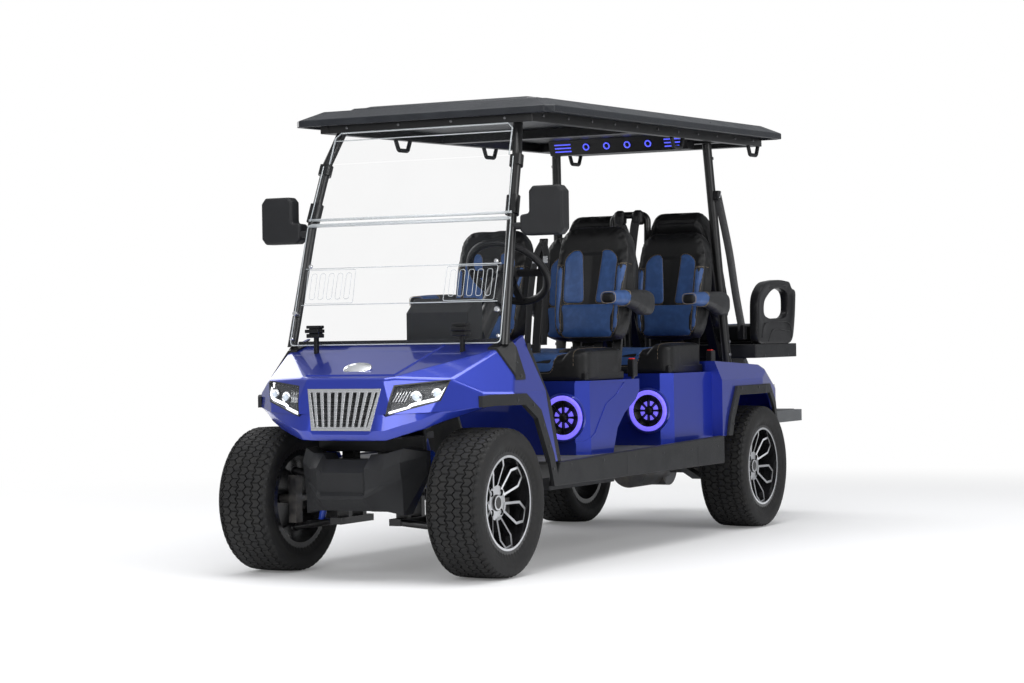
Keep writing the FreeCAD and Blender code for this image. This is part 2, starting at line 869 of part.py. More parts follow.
def bumper_keep_out():
    """All of the bumper's room but its hollow, so that the rails end at its inner faces."""
    back = size.bumper_depth * BUMPER_SECTION_SHARES[0][1][0][0] - size.front_reach
    wide = size.bumper_half_width
    room = block(-wide, wide, -size.front_reach - size.overrun, back, size.bumper_low_z, size.shock_top_z)
    return room.cut(bumper_form(size.bumper_wall + size.seat_gap))


def chassis_frame():
    """Wide rails behind the front wheels, narrow rails between them, and cross members."""
    low, high = size.rail_bottom, size.rail_bottom + size.rail_height
    half = size.rail_width / 2
    front = size.bumper_wall - size.front_reach
    rails = []
    for side in (LEFT, RIGHT):
        wide, narrow = side * size.rail_x, side * size.front_rail_x
        rails.append(block(wide - half, wide + half, size.front_rail_end, rear(size.rail_rear), low, high))
        rails.append(block(narrow - half, narrow + half, front, size.front_rail_end + size.cross_width,
                           low, high))
        beam_low, beam_top = size.shock_top_z + size.seat_gap, size.shock_top_z + half
        inner, outer = size.front_rail_x - half, size.front_rail_x + half
        tower = fuse([block(inner, outer, -half, half, high, beam_top),
                      block(inner, size.shock_top_x + half, -half, half, beam_low, beam_top)])
        bar_low, bar_high = size.lower_arm_z - size.arm_radius, size.lower_arm_z + size.arm_radius
        bar_end = size.arm_spread + size.arm_radius
        sub_bar = block(inner, outer, -bar_end, bar_end, bar_low, bar_high)
        hangers = [block(inner, outer, y - size.arm_radius, y + size.arm_radius, bar_high, low)
                   for y in (-size.arm_spread / 2, size.arm_spread / 2)]
        mount = fuse([tower, sub_bar] + hangers)
        rails.append(mount if side == LEFT else mirrored(mount))
    spread = size.rail_x + half
    places = (size.front_rail_end, size.first_box_y, rear(size.second_box_front) - size.cross_width,
              rear(-size.leaf_half_length - size.cross_width), rear(size.rail_rear) - size.cross_width)
    rails += [block(-spread, spread, y, y + size.cross_width, low, high) for y in places]
    narrow_spread = size.front_rail_x + half
    rails.append(block(-narrow_spread, narrow_spread, front, front + size.cross_width, low, high))
    return fuse(rails).cut(bumper_keep_out())


def floor_pan():
    """Floor from the toe board to the second seat box, with the sloped toe board."""
    top, thick = size.floor_z, size.floor_thickness
    back = rear(size.second_box_rear_y)
    profile = [(size.floor_front, top), (size.toe_top_y, size.toe_top_z),
               (size.toe_top_y - thick, size.toe_top_z), (size.floor_front - thick, top - thick),
               (back, top - thick), (back, top)]
    sheet_floor = along_x(profile, -size.toe_half_width, size.toe_half_width)
    wide = block(-inboard(size.floor_inset), inboard(size.floor_inset), size.fender_rear_low_y,
                 back, top - thick, top)
    return fuse([sheet_floor, wide])


def rocker_panels():
    outer, inner = inboard(size.rocker_inset), inboard(size.rocker_inset) - size.rocker_thickness
    end = rear(-size.rocker_rear_inset)
    profile = [(size.rocker_front_top, size.rocker_front_z),
               (size.rocker_front_bottom, size.rocker_bottom_z),
               (end, size.rocker_bottom_z), (end, size.rocker_rear_z)]
    return pair(along_x(profile, inner, outer))


battery = doc.addObject("Part::Box", "battery_block")
battery.Label = "battery_block"
half_bay = "(Sizes.rail_x - Sizes.rail_width / 2 - Sizes.seat_gap)"
bind(battery, {"Length": "2 * " + half_bay, "Width": "Sizes.battery_length",
               "Height": "Sizes.floor_z - Sizes.floor_thickness - Sizes.seat_gap - Sizes.battery_bottom"})
register(battery, "-" + half_bay, "Sizes.battery_y", "Sizes.battery_bottom")

feature("chassis_frame", chassis_frame())
feature("floor_pan", floor_pan())
feature("rocker_panels", rocker_panels())


# Front body

def cowl_hull(inset, rear_y, low_z):
    """The solid form of the nose, hood and fenders, drawn in by the inset."""
    inside = vec(0, 0, (size.chin_z + size.nose_z) / 2)
    wide = size.body_half_width - inset
    hull = block(-wide, wide, size.chin_y * 2, rear_y, low_z, size.hood_rear_z * 2)
    grille = [vec(-size.grille_top_x, size.grille_top_y, size.grille_top_z),
              vec(size.grille_top_x, size.grille_top_y, size.grille_top_z),
              vec(size.grille_low_x, size.grille_low_y, size.grille_low_z)]
    hood = [vec(-size.nose_x, size.grille_top_y + size.grille_depth, size.nose_z),
            vec(size.nose_x, size.grille_top_y + size.grille_depth, size.nose_z),
            vec(0, size.hood_rear_y, size.hood_rear_z)]
    lamp_top = vec(inboard(size.lamp_outer_inset), size.lamp_outer_y, size.lamp_outer_z)
    lamp_low = vec(inboard(size.lamp_outer_low_inset), size.lamp_outer_low_y, size.lamp_outer_low_z)
    nose = vec(size.nose_x, size.nose_y, size.nose_z)
    shoulder = vec(inboard(size.shoulder_inset), size.shoulder_y, size.shoulder_z)
    tip = vec(inboard(size.tip_inset), size.tip_y, size.tip_z)
    waist = vec(size.body_half_width, size.waist_y, size.waist_z)
    waist_low = vec(size.body_half_width, size.waist_y, size.tip_z)
    side_sets = [
        [vec(size.lamp_inner_x, size.lamp_inner_y, size.lamp_inner_z),
         vec(size.lamp_inner_low_x, size.lamp_inner_low_y, size.lamp_inner_low_z), lamp_top],
        [lamp_top, lamp_low, tip],
        [tip, waist_low, waist],
        [nose, lamp_top, shoulder],
        [lamp_top, shoulder, waist],
        [vec(size.body_half_width, 0, size.waist_z),
         vec(size.body_half_width, size.fender_rear_low_y, size.waist_z),
         vec(inboard(size.fender_top_inset), 0, size.fender_top_z)],
    ]
    planes = [grille, hood] + side_sets + [[vec(-p.x, p.y, p.z) for p in points] for points in side_sets]
    for first, second, third in planes:
        hull = hull.common(half_space(first, second, third, inside, inset))
    return hull


def cowl_form(inset, rear_y, low_z):
    """The nose with its creases rounded, but not the edges round its open rear and bottom."""
    hull = cowl_hull(inset, rear_y, low_z)
    clear = size.seat_gap
    creases = [edge for edge in hull.Edges
               if edge.BoundBox.ZMin > low_z + clear and edge.BoundBox.YMax < rear_y - clear]
    return hull.makeFillet(size.nose_round - inset, creases)


def hood_height(y):
    run = size.hood_rear_y - size.grille_top_y - size.grille_depth
    return size.hood_rear_z + (y - size.hood_rear_y) * (size.hood_rear_z - size.nose_z) / run


def hood_outline(inset, rise):
    front, back = size.hood_front_y + inset, size.hood_back_y - inset
    corners = [(size.hood_front_x - inset, front), (size.hood_back_x - inset, back)]
    corners += [(-x, y) for x, y in reversed(corners)]
    return [vec(x, y, hood_height(y) + rise) for x, y in corners]


def hood_panel():
    """Raised middle of the hood with bevelled edges."""
    return ruled([hood_outline(0, -size.panel_wall / 2), hood_outline(size.hood_bevel, size.hood_rise)])


def front_body():
    """Hollow moulded nose with open wheel arches and openings for the grille and the lamps."""
    far = size.fender_rear_low_y
    outer = cowl_form(0, far, size.fender_rear_low_z)
    inner = cowl_form(size.panel_wall, far + size.overrun, size.fender_rear_low_z - size.overrun)
    shell = outer.cut(inner).fuse(hood_panel())
    wide = size.body_half_width + size.overrun
    top = size.hood_rear_z * 2
    shell = shell.cut(block(-inboard(size.shoulder_inset), inboard(size.shoulder_inset), size.hood_rear_y,
                            far + size.overrun,
                            size.fender_rear_low_z - size.overrun, top))
    behind = [(size.fender_rear_top_y, top), (size.fender_rear_top_y, size.fender_top_z),
              (size.fender_rear_mid_y, size.fender_rear_mid_z), (far, size.fender_rear_low_z),
              (far + size.overrun, size.fender_rear_low_z - size.overrun), (far + size.overrun, top)]
    shell = shell.cut(along_x(behind, -wide, wide))
    shell = shell.cut(arch_prism(FRONT_ARCH_SHARES, size.arch_y, size.arch_z, size.arch_radius, 0))
    slope = [(0, size.chin_z), (size.chin_x, size.chin_z), (inboard(size.tip_inset), size.tip_z),
             (wide, size.tip_z),
             (wide, size.fender_rear_low_z - size.overrun), (0, size.fender_rear_low_z - size.overrun)]
    under = along_y(slope, size.chin_y * 2, size.arch_y)
    shell = shell.cut(under).cut(mirrored(under))
    shell = shell.cut(grille_prism(0))
    lamp = lamp_prism(0)
    return shell.cut(lamp).cut(mirrored(lamp))


def grille_outline(inset):
    return [(-size.grille_top_x + inset, size.grille_top_z - inset),
            (size.grille_top_x - inset, size.grille_top_z - inset),
            (size.grille_low_x - inset, size.grille_low_z + inset),
            (-size.grille_low_x + inset, size.grille_low_z + inset)]


def grille_prism(inset):
    return along_y(grille_outline(inset), size.chin_y * 2, size.grille_top_y + 2 * size.grille_depth)


def lamp_outline(inset):
    return [(size.lamp_inner_x + inset, size.lamp_inner_z - inset),
            (inboard(size.lamp_outer_inset) - inset, size.lamp_outer_z - inset),
            (inboard(size.lamp_outer_low_inset) - inset, size.lamp_outer_low_z + inset),
            (size.lamp_inner_low_x + inset, size.lamp_inner_low_z + inset)]


def lamp_prism(inset):
    return along_y(lamp_outline(inset), size.chin_y * 2, size.lamp_outer_y + size.lamp_depth)


GRILLE_BARS = 9


def grille():
    """Slanted frame with tapered upright bars, fitted in the nose opening."""
    slab = cowl_form(0, size.hood_rear_y, size.grille_low_z).cut(
        cowl_hull(size.grille_depth, size.hood_rear_y + size.overrun, size.grille_low_z - size.overrun))
    frame = slab.common(grille_prism(size.seat_gap)).cut(grille_prism(size.grille_frame))
    wide_top = size.grille_top_x - size.grille_frame
    wide_low = size.grille_low_x - size.grille_frame
    bars = []
    for index in range(GRILLE_BARS):
        share = (index + 0.5) / GRILLE_BARS * 2 - 1
        top_x, low_x = share * wide_top, share * wide_low
        half_top, half_low = size.grille_bar / 2, size.grille_bar * BAR_TAPER_SHARE / 2
        outline = [(top_x - half_top, size.grille_top_z - size.grille_frame / 2),
                   (top_x + half_top, size.grille_top_z - size.grille_frame / 2),
                   (low_x + half_low, size.grille_low_z + size.grille_frame / 2),
                   (low_x - half_low, size.grille_low_z + size.grille_frame / 2)]
        bars.append(slab.common(along_y(outline, size.chin_y * 2, size.hood_rear_y)))
    return fuse([frame] + bars)


BAR_TAPER_SHARE = 0.62


def lamp_light_outline():
    """The light that runs along the lamp's lower edge and up its outer one."""
    low, high = lamp_outline(size.lamp_rim + size.seat_gap), lamp_outline(size.lamp_rim + size.lamp_light)
    return [low[1], low[2], low[3], (low[3][0] + size.lamp_light / 2, high[3][1]), high[2], high[1]]


def lamp_eyes():
    """Two round projectors side by side, pointing forwards."""
    eyes = []
    tall = size.lamp_inner_z - size.lamp_inner_low_z
    low_z = (size.lamp_inner_z + size.lamp_inner_low_z) / 2
    rise = size.lamp_outer_z - size.lamp_inner_z + size.lamp_light
    for across, radius in LAMP_EYE_SHARES:
        x = size.lamp_inner_x + (inboard(size.lamp_outer_inset) - size.lamp_inner_x) * across
        z = low_z + rise * across
        back_y = size.lamp_outer_y + size.lamp_depth
        eyes.append(rod(vec(x, size.chin_y, z), vec(x, back_y, z), tall * radius))
    return eyes


def headlamps():
    """Lamp units that follow the slant of the nose: a rim, a sunk floor, two projectors, an angled light."""
    low_z = size.grille_low_z - size.overrun
    form = cowl_form(0, size.hood_rear_y, size.grille_low_z)
    form = form.cut(cowl_hull(size.lamp_depth, size.hood_rear_y + size.overrun, low_z))
    unit = form.common(lamp_prism(size.seat_gap))
    unit = unit.cut(lamp_prism(size.lamp_rim).cut(cowl_hull(size.lamp_sink, size.hood_rear_y, low_z)))
    proud = cowl_hull(size.lamp_sink / 2, size.hood_rear_y, low_z)
    behind = cowl_hull(size.lamp_depth / 2, size.hood_rear_y + size.overrun, low_z)
    light = along_y(lamp_light_outline(), size.chin_y * 2, size.lamp_outer_y + size.lamp_depth)
    inner_parts = [piece.common(proud).cut(behind) for piece in lamp_eyes() + [light]]
    return pair(fuse([unit] + inner_parts))


LAMP_EYE_SHARES = ((0.4, 0.2), (0.76, 0.18))


def front_bumper():
    """Moulded bumper: sunk middle panel between two folded corners, lip, skirt and swept wings."""
    return bumper_form(0).cut(bumper_form(size.bumper_wall))


FRONT_ARCH_SHARES = ((-0.95, 0.92), (-0.16, 1.0), (0.26, 1.0), (0.55, 0.84), (0.82, 0.38), (0.99, -0.1),
                     (0.99, -0.6),
                     (-0.95, -0.6))
REAR_ARCH_SHARES = ((-1.2, 0.2), (-1.06, 0.62), (-0.86, 0.95), (0.33, 0.95), (0.62, 0.74), (0.8, 0.3),
                    (0.95, -0.6),
                    (-1.2, -0.6))


def arch_prism(shares, centre_y, centre_z, radius, spread):
    """Cutter for a wheel opening, widened by the spread."""
    profile = [(centre_y + radius * along, centre_z + radius * up) for along, up in shares]
    wide = inboard(size.rocker_inset) + size.overrun
    flat = Part.Wire(Part.makePolygon([vec(-wide, y, z) for y, z in profile + profile[:1]]))
    if spread:
        flat = flat.makeOffset2D(spread, 2)
    return Part.Face(flat).extrude(vec(2 * wide, 0, 0))


def front_flares():
    """Bands round the front arches that stand proud of the fenders."""
    far = size.fender_rear_low_y
    skin = cowl_hull(-size.flare_depth, far, size.rocker_bottom_z).cut(
        cowl_hull(-size.seat_gap, far + size.overrun, size.rocker_bottom_z - size.overrun))
    ring = arch_prism(FRONT_ARCH_SHARES, size.arch_y, size.arch_z, size.arch_radius, size.flare_width)
    ring = ring.cut(arch_prism(FRONT_ARCH_SHARES, size.arch_y, size.arch_z, size.arch_radius, 0))
    band = skin.common(ring)
    wide = size.body_half_width + size.overrun
    gap = size.seat_gap
    rocker = [(size.rocker_front_top - gap, size.rocker_front_z + gap),
              (size.rocker_front_bottom - gap, size.rocker_bottom_z),
              (far + size.overrun, size.rocker_bottom_z), (far + size.overrun, size.rocker_front_z + gap)]
    band = band.cut(along_x(rocker, 0, wide))
    return pair(band.common(block(inboard(size.tip_inset), wide, size.tip_y, far, size.rocker_bottom_z,
                                  size.hood_rear_z)))


def pillar_trims():
    """Dark strips along the rear edges of the front fenders."""
    gap = size.seat_gap
    wide = size.rocker_thickness
    top_y, mid_y, low_y = size.fender_rear_top_y + gap, size.fender_rear_mid_y + gap, size.fender_rear_low_y + gap
    places = [(inboard(size.fender_top_inset), top_y, size.hood_rear_z),
              (inboard(size.fender_top_inset), top_y, size.fender_top_z),
              (size.body_half_width, mid_y, size.fender_rear_mid_z),
              (size.body_half_width, low_y, size.fender_rear_low_z),
              (size.body_half_width, low_y, size.floor_z + gap)]
    sections = [[vec(x - wide, y, z), vec(x, y, z), vec(x, y + wide, z), vec(x - wide, y + wide, z)]
                for x, y, z in places]
    return pair(ruled(sections))


def dash_front():
    return size.hood_rear_y + size.seat_gap


def dashboard():
    """Hollow dash with a raised pod in the middle."""
    profile = [(dash_front(), size.dash_top_z), (size.dash_rear_y, size.dash_top_z - size.overrun),
               (size.dash_rear_y, size.dash_low_z), (size.toe_top_y + size.overrun, size.dash_low_z),
               (dash_front(), size.dash_low_z + size.overrun)]
    outer = along_x(profile, -inboard(size.dash_inset), inboard(size.dash_inset))
    wall = size.panel_wall
    inner = [(dash_front() + wall, size.dash_top_z - wall),
             (size.dash_rear_y - wall, size.dash_top_z - size.overrun - wall),
             (size.dash_rear_y - wall, size.dash_low_z - wall),
             (dash_front() + wall, size.dash_low_z - wall)]
    hollow = along_x(inner, -inboard(size.dash_inset) + wall, inboard(size.dash_inset) - wall)
    low = size.dash_top_z - size.overrun
    pod = [(size.dash_rear_y - size.pod_depth * along, low + (size.pod_height + size.overrun) * up)
           for along, up in POD_SHARES]
    left, right = size.pod_x - size.pod_half_width, size.pod_x + size.pod_half_width
    pod_solid = along_x(pod, left, right)
    frame = size.pod_frame
    screen = block(left + frame, right - frame, size.dash_rear_y - size.pod_sink,
                   size.dash_rear_y + size.overrun,
                   size.dash_top_z + frame, size.dash_top_z + size.pod_height - 2 * frame)
    return fuse([outer.cut(hollow), pod_solid.cut(screen)])


POD_SHARES = ((0.0, 0.0), (0.0, 0.96), (0.45, 1.0), (1.0, 0.72), (1.0, 0.0))


def column_axis():
    angle = math.radians(size.column_angle)
    return vec(0, -math.cos(angle), -math.sin(angle))


def wheel_centre():
    return vec(size.wheel_offset_x, size.wheel_centre_y, size.wheel_centre_z)


def steering_column():
    """Jacket from the dash to the hand wheel's hub."""
    way = column_axis()
    start = wheel_centre() + way * (size.hand_wheel_hub_depth + size.seat_gap)
    jacket = rod(start, start + way * size.column_length, size.column_radius)
    cowl = rod(start + way * size.column_radius,
               start + way * (size.column_radius + size.column_cowl_length),
               size.column_cowl_radius)
    jacket = fuse([jacket, cowl])
    keep_out = block(-inboard(size.dash_inset), inboard(size.dash_inset), 0,
                     size.dash_rear_y + size.seat_gap,
                     0, size.wheel_centre_z)
    return jacket.cut(keep_out)


def hand_wheel():
    """Grip ring, hub and three spokes, turned to the column's angle."""
    centre = vec(0, 0, 0)
    grip = Part.makeTorus(size.hand_wheel_radius - size.hand_wheel_grip, size.hand_wheel_grip)
    hub = Part.makeCylinder(size.hand_wheel_hub_radius, size.hand_wheel_hub_depth,
                            vec(0, 0, -size.hand_wheel_hub_depth))
    spokes = []
    for angle in SPOKE_ANGLES:
        spoke = block(0, size.hand_wheel_radius - size.hand_wheel_grip, -size.hand_wheel_spoke_width / 2,
                      size.hand_wheel_spoke_width / 2, -size.hand_wheel_spoke_depth, 0)
        spoke.rotate(centre, vec(0, 0, 1), angle)
        spokes.append(spoke)
    whole = fuse([grip, hub] + spokes)
    whole.Placement = FreeCAD.Placement(wheel_centre(),
                                        FreeCAD.Rotation(vec(1, 0, 0), -(90 - size.column_angle)))
    return whole


SPOKE_ANGLES = (0, 90, 180)


# Windshield, mirrors and roof

def post_places(side):
    return [vec(side * inboard(size.post_base_inset), size.post_base_y, size.post_base_z),
            vec(side * size.post_hinge_x, size.post_hinge_y, size.post_hinge_z),
            vec(side * size.post_clamp_x, size.post_clamp_y, size.post_clamp_z),
            vec(side * size.post_top_x, size.post_top_y, size.post_top_z)]


def windshield_posts():
    """Bent posts from the shoulders of the hood to the roof's front cross member."""
    places = post_places(LEFT)
    low_way = (places[0] - places[1]).normalize() * size.overrun
    high_way = (places[3] - places[2]).normalize() * size.overrun
    post = tube([places[0] + low_way] + places[1:3] + [places[3] + high_way], size.post_radius,
                size.post_bend)
    post = post.cut(above_rails())
    foot = size.shoulder_z + size.post_foot_gap
    wide = size.body_half_width
    post = post.cut(block(0, wide, 0, size.post_hinge_y, foot - size.overrun * 2, foot))
    top_z = size.shoulder_z + 2 * size.overrun
    pad = cowl_hull(-size.post_pad_rise, size.hood_rear_y, size.post_pad_low_z - size.overrun).cut(
        cowl_hull(-size.seat_gap, size.hood_rear_y + size.overrun, size.post_pad_low_z - 2 * size.overrun))
    pad = pad.common(block(size.post_pad_inner_x, size.post_pad_outer_x, size.post_pad_front_y,
                           size.hood_rear_y,
                           size.post_pad_low_z, top_z))
    fittings = [post_collar(places[1], places[2], 0, size.hinge_length)]
    fittings.append(post_collar(places[1], places[2], (places[2] - places[1]).Length - size.clamp_length,
                                size.clamp_length))
    return pair(fuse([post, pad] + fittings))


def post_collar(low, high, start, length):
    """A collar round the rear of a post, clear of the pane ahead of it."""
    way = (high - low).normalize()
    collar = rod(low + way * start, low + way * (start + length), size.clamp_radius)
    slant = 1 / way.z
    ahead = vec(0, -(size.post_radius + size.seat_gap) * slant, 0)
    plane = [low + ahead, high + ahead, vec(-high.x, high.y, high.z) + ahead]
    return collar.common(half_space(plane[0], plane[1], plane[2], low, size.seat_gap))


def glass_panel(low, high, low_share, high_share):
    """A pane ahead of the posts, from one share of their span to another."""
    slant = (high - low).Length / (high - low).z
    ahead = vec(0, -(size.post_radius + size.seat_gap + size.glass_thickness) * slant, 0)
    low_left, high_left = low + (high - low) * low_share + ahead, low + (high - low) * high_share + ahead
    back = vec(0, size.glass_thickness * slant, 0)
    front = [vec(-low_left.x, low_left.y, low_left.z), low_left, high_left,
             vec(-high_left.x, high_left.y, high_left.z)]
    return face(front).extrude(back)


def windshield_panes():
    base, hinge, clamp, top = post_places(LEFT)
    lower = glass_panel(base, hinge, 0, 1 - PANE_GAP_SHARE)
    upper = glass_panel(hinge, clamp, PANE_GAP_SHARE, 1)
    return lower, upper


PANE_GAP_SHARE = 0.01


def mirrors():
    """Stepped mirror heads, each on an arm from the windshield post."""
    outline = [(size.mirror_inner_x + across * size.mirror_width,
                size.mirror_low_z + up * size.mirror_height)
               for across, up in MIRROR_SHARES]
    head = along_y(outline, size.mirror_y - size.mirror_depth / 2, size.mirror_y + size.mirror_depth / 2)
    head = head.makeFillet(size.mirror_round, head.Edges)
    arm_z = size.mirror_low_z + size.mirror_height * MIRROR_ARM_SHARE
    base, hinge = post_places(LEFT)[:2]
    on_post = base + (hinge - base) * ((arm_z - base.z) / (hinge.z - base.z))
    arm = rod(on_post, vec(size.mirror_inner_x + size.mirror_width / 2, on_post.y, arm_z),
              size.mirror_arm_radius)
    arm = arm.cut(rod(base, hinge, size.post_radius + size.seat_gap))
    return pair(fuse([head, arm]))


MIRROR_SHARES = ((0.0, 0.1), (0.12, 0.0), (0.9, 0.0), (1.0, 0.12), (1.0, 0.88), (0.9, 1.0), (0.3, 1.0),
                 (0.21, 0.9),
                 (0.21, 0.45), (0.0, 0.42))
MIRROR_ARM_SHARE = 0.2


def roof_outline(inset, height, front, back, wide):
    """Plan outline with cut corners at one height."""
    corner = size.roof_corner
    x, y0, y1 = wide - inset, front + inset, back - inset
    return [vec(x, y0 + corner, height), vec(x, y1 - corner, height), vec(x - corner, y1, height),
            vec(-x + corner, y1, height), vec(-x, y1 - corner, height), vec(-x, y0 + corner, height),
            vec(-x + corner, y0, height), vec(x - corner, y0, height)]


def roof_form():
    front, back, wide = size.roof_front_y, rear(size.roof_rear), size.roof_half_width
    lip = size.roof_lip_z
    sections = [roof_outline(0, lip, front, back, wide),
                roof_outline(0, lip + size.roof_height * ROOF_SIDE_SHARE, front, back, wide),
                roof_outline(size.roof_crown_inset, lip + size.roof_height, front, back, wide)]
    return ruled(sections)


ROOF_SIDE_SHARE = 0.42


def pitched(shape):
    """Tips what the roof carries up towards the rear, about the roof's front lip."""
    turned = shape.copy()
    turned.rotate(vec(0, size.roof_front_y, size.roof_lip_z), vec(1, 0, 0), size.roof_pitch)
    return turned


def roof_shell():
    """Double-skinned roof: a crowned form with a raised middle and a recessed underside."""
    front, back, wide = size.roof_front_y, rear(size.roof_rear), size.roof_half_width
    hollow = ruled([roof_outline(size.roof_wall, size.roof_lip_z + rise, front, back, wide)
                    for rise in (-size.overrun, size.roof_recess)])
    top = size.roof_lip_z + size.roof_height
    inset = size.roof_panel_inset
    panel = ruled([roof_outline(inset, top - size.seat_gap, size.roof_front_y, rear(size.roof_rear),
                                size.roof_half_width),
                   roof_outline(inset + size.roof_panel_height, top + size.roof_panel_height,
                                size.roof_front_y,
                                rear(size.roof_rear), size.roof_half_width)])
    return pitched(fuse([roof_form().cut(hollow), panel]))


def rail_top():
    return size.roof_lip_z + size.roof_recess - size.seat_gap


def above_rails():
    """Cutter for what ends under the rails."""
    wide = size.roof_half_width
    low = rail_top() - size.roof_rail_height - size.seat_gap
    return pitched(block(-wide, wide, 0, rear(size.rear_reach), low, low + size.wheelbase))


HANDLE_PLACE_SHARES = ((RIGHT, 0.254), (RIGHT, 0.592), (LEFT, 0.592), (RIGHT, 0.97), (LEFT, 0.97))


def rail_end():
    return rear(size.roof_rear) - size.roof_wall - 2 * size.seat_gap


def grab_handles():
    """Trapezoid handles under the roof's side rails."""
    start, end = size.post_top_y, rail_end()
    top = rail_top() - size.roof_rail_height
    half = size.handle_length / 2
    handles = []
    for side, share in HANDLE_PLACE_SHARES:
        x, y = side * rail_side(), start + (end - start) * share
        places = [vec(x, y - half, top), vec(x, y - half * HANDLE_FOOT_SHARE, top - size.handle_drop),
                  vec(x, y + half * HANDLE_FOOT_SHARE, top - size.handle_drop), vec(x, y + half, top)]
        handles.append(tube(places, size.handle_radius, size.handle_length * HANDLE_BEND_SHARE))
    level = rail_top() - size.roof_rail_height - size.seat_gap
    above = block(-size.roof_half_width, size.roof_half_width, start, end, level, level + size.overrun)
    return pitched(Part.makeCompound([handle.cut(above) for handle in handles]))


HANDLE_FOOT_SHARE = 0.62
HANDLE_BEND_SHARE = 0.12


def roof_rails():
    """Frame of square tube under the roof: two side rails and cross members over the posts."""
    x, wide = rail_side(), size.roof_rail_width
    top, low = rail_top(), rail_top() - size.roof_rail_height
    start, end = size.post_top_y - size.overrun, rail_end()
    bars = [block(side * x - wide / 2, side * x + wide / 2, start, end, low, top) for side in (LEFT, RIGHT)]
    middle = (size.post_top_y + rear(size.rear_post_top)) / 2
    bars += [block(-x, x, y - wide, y + wide, low, top)
             for y in (size.post_top_y, middle, rear(size.rear_post_top), end - wide)]
    return pitched(fuse(bars))


def rear_posts():
    """Posts from the rear body to the roof's rails, leaning forwards and inwards."""
    low = vec(size.rear_post_low_x, rear(size.rear_post_low), size.rear_mid_z)
    high = vec(size.rear_post_x, rear(size.rear_post_top), size.roof_lip_z + size.overrun)
    post = rod(low, high, size.rear_post_radius).cut(tail_hull(-size.seat_gap, size.rear_low_z))
    return pair(post.cut(above_rails()))


# Seat boxes, rear body and trim

def box_outline(front_y, back_y, back_x):
    """Plan outline of a seat box, narrow at the front with cut corners."""
    x, corner = size.box_front_x, size.box_corner
    return [(x - corner, front_y), (x, front_y + corner), (back_x, back_y), (-back_x, back_y),
            (-x, front_y + corner), (-x + corner, front_y)]


def speaker_places():
    return [(side * size.speaker_x, y) for y in (size.first_box_y,
                                                 rear(size.second_box_front)) for side in (LEFT, RIGHT)]


def speaker_holes(body):
    for x, y in speaker_places():
        body = body.cut(Part.makeCylinder(size.speaker_radius - size.speaker_bezel, size.speaker_depth,
                                          vec(x, y - size.seat_gap, size.speaker_z), vec(0, 1, 0)))
    return body


def hollow_box(front_y, back_y, back_x, low, high):
    wall = size.panel_wall
    outer = along_z(box_outline(front_y, back_y, back_x), low, high)
    x, corner = size.box_front_x - wall, size.box_corner
    inner = [(x - corner, front_y + wall), (x, front_y + wall + corner), (back_x - wall, back_y - wall),
             (-back_x + wall, back_y - wall), (-x, front_y + wall + corner), (-x + corner, front_y + wall)]
    return outer.cut(along_z(inner, low - wall, high - wall))


def side_step(front_y, high):
    """Cutter that sinks the front of a box's side below a flowing crease."""
    crease = [(front_y + along * size.first_box_length, size.floor_z + up * (size.box_top_z - size.floor_z))
              for along, up in CREASE_SHARES]
    low = size.floor_z - size.overrun
    region = [(front_y - size.overrun, high)] + crease + [(crease[-1][0], low),
                                                          (front_y - size.overrun, low)]
    wide = size.body_half_width
    kept = [(across - size.box_step if across > 0 else across + size.box_step, along)
            for across, along in box_outline(front_y, front_y + size.first_box_length, size.box_rear_x)]
    return along_x(region, -wide, wide).cut(along_z(kept, low, high + size.overrun))


CREASE_SHARES = ((0.72, 0.96), (0.59, 0.81), (0.39, 0.68), (0.29, 0.5), (0.18, 0.29), (0.06, 0.19),
                 (-0.17, 0.11))
BOX_REAR_SHARES = ((0.0, 0.845), (0.134, 0.72), (0.56, 0.54), (0.83, 0.34), (1.0, 0.0))


def seat_box_front():
    """Hollow box under the first row, its rear edge sweeping forward to the floor."""
    back = size.first_box_y + size.first_box_length
    body = hollow_box(size.first_box_y, back, size.box_rear_x, size.floor_z + size.seat_gap, size.box_top_z)
    tall = size.box_top_z - size.floor_z
    slant = [(back - size.first_box_slant * along, size.floor_z + tall * up) for along,
             up in BOX_REAR_SHARES]
    slant += [(back + size.overrun, size.floor_z), (back + size.overrun, slant[0][1])]
    body = body.cut(along_x(slant, -size.body_half_width, size.body_half_width))
    return speaker_holes(body.cut(side_step(size.first_box_y, slant[0][1] + size.overrun)))


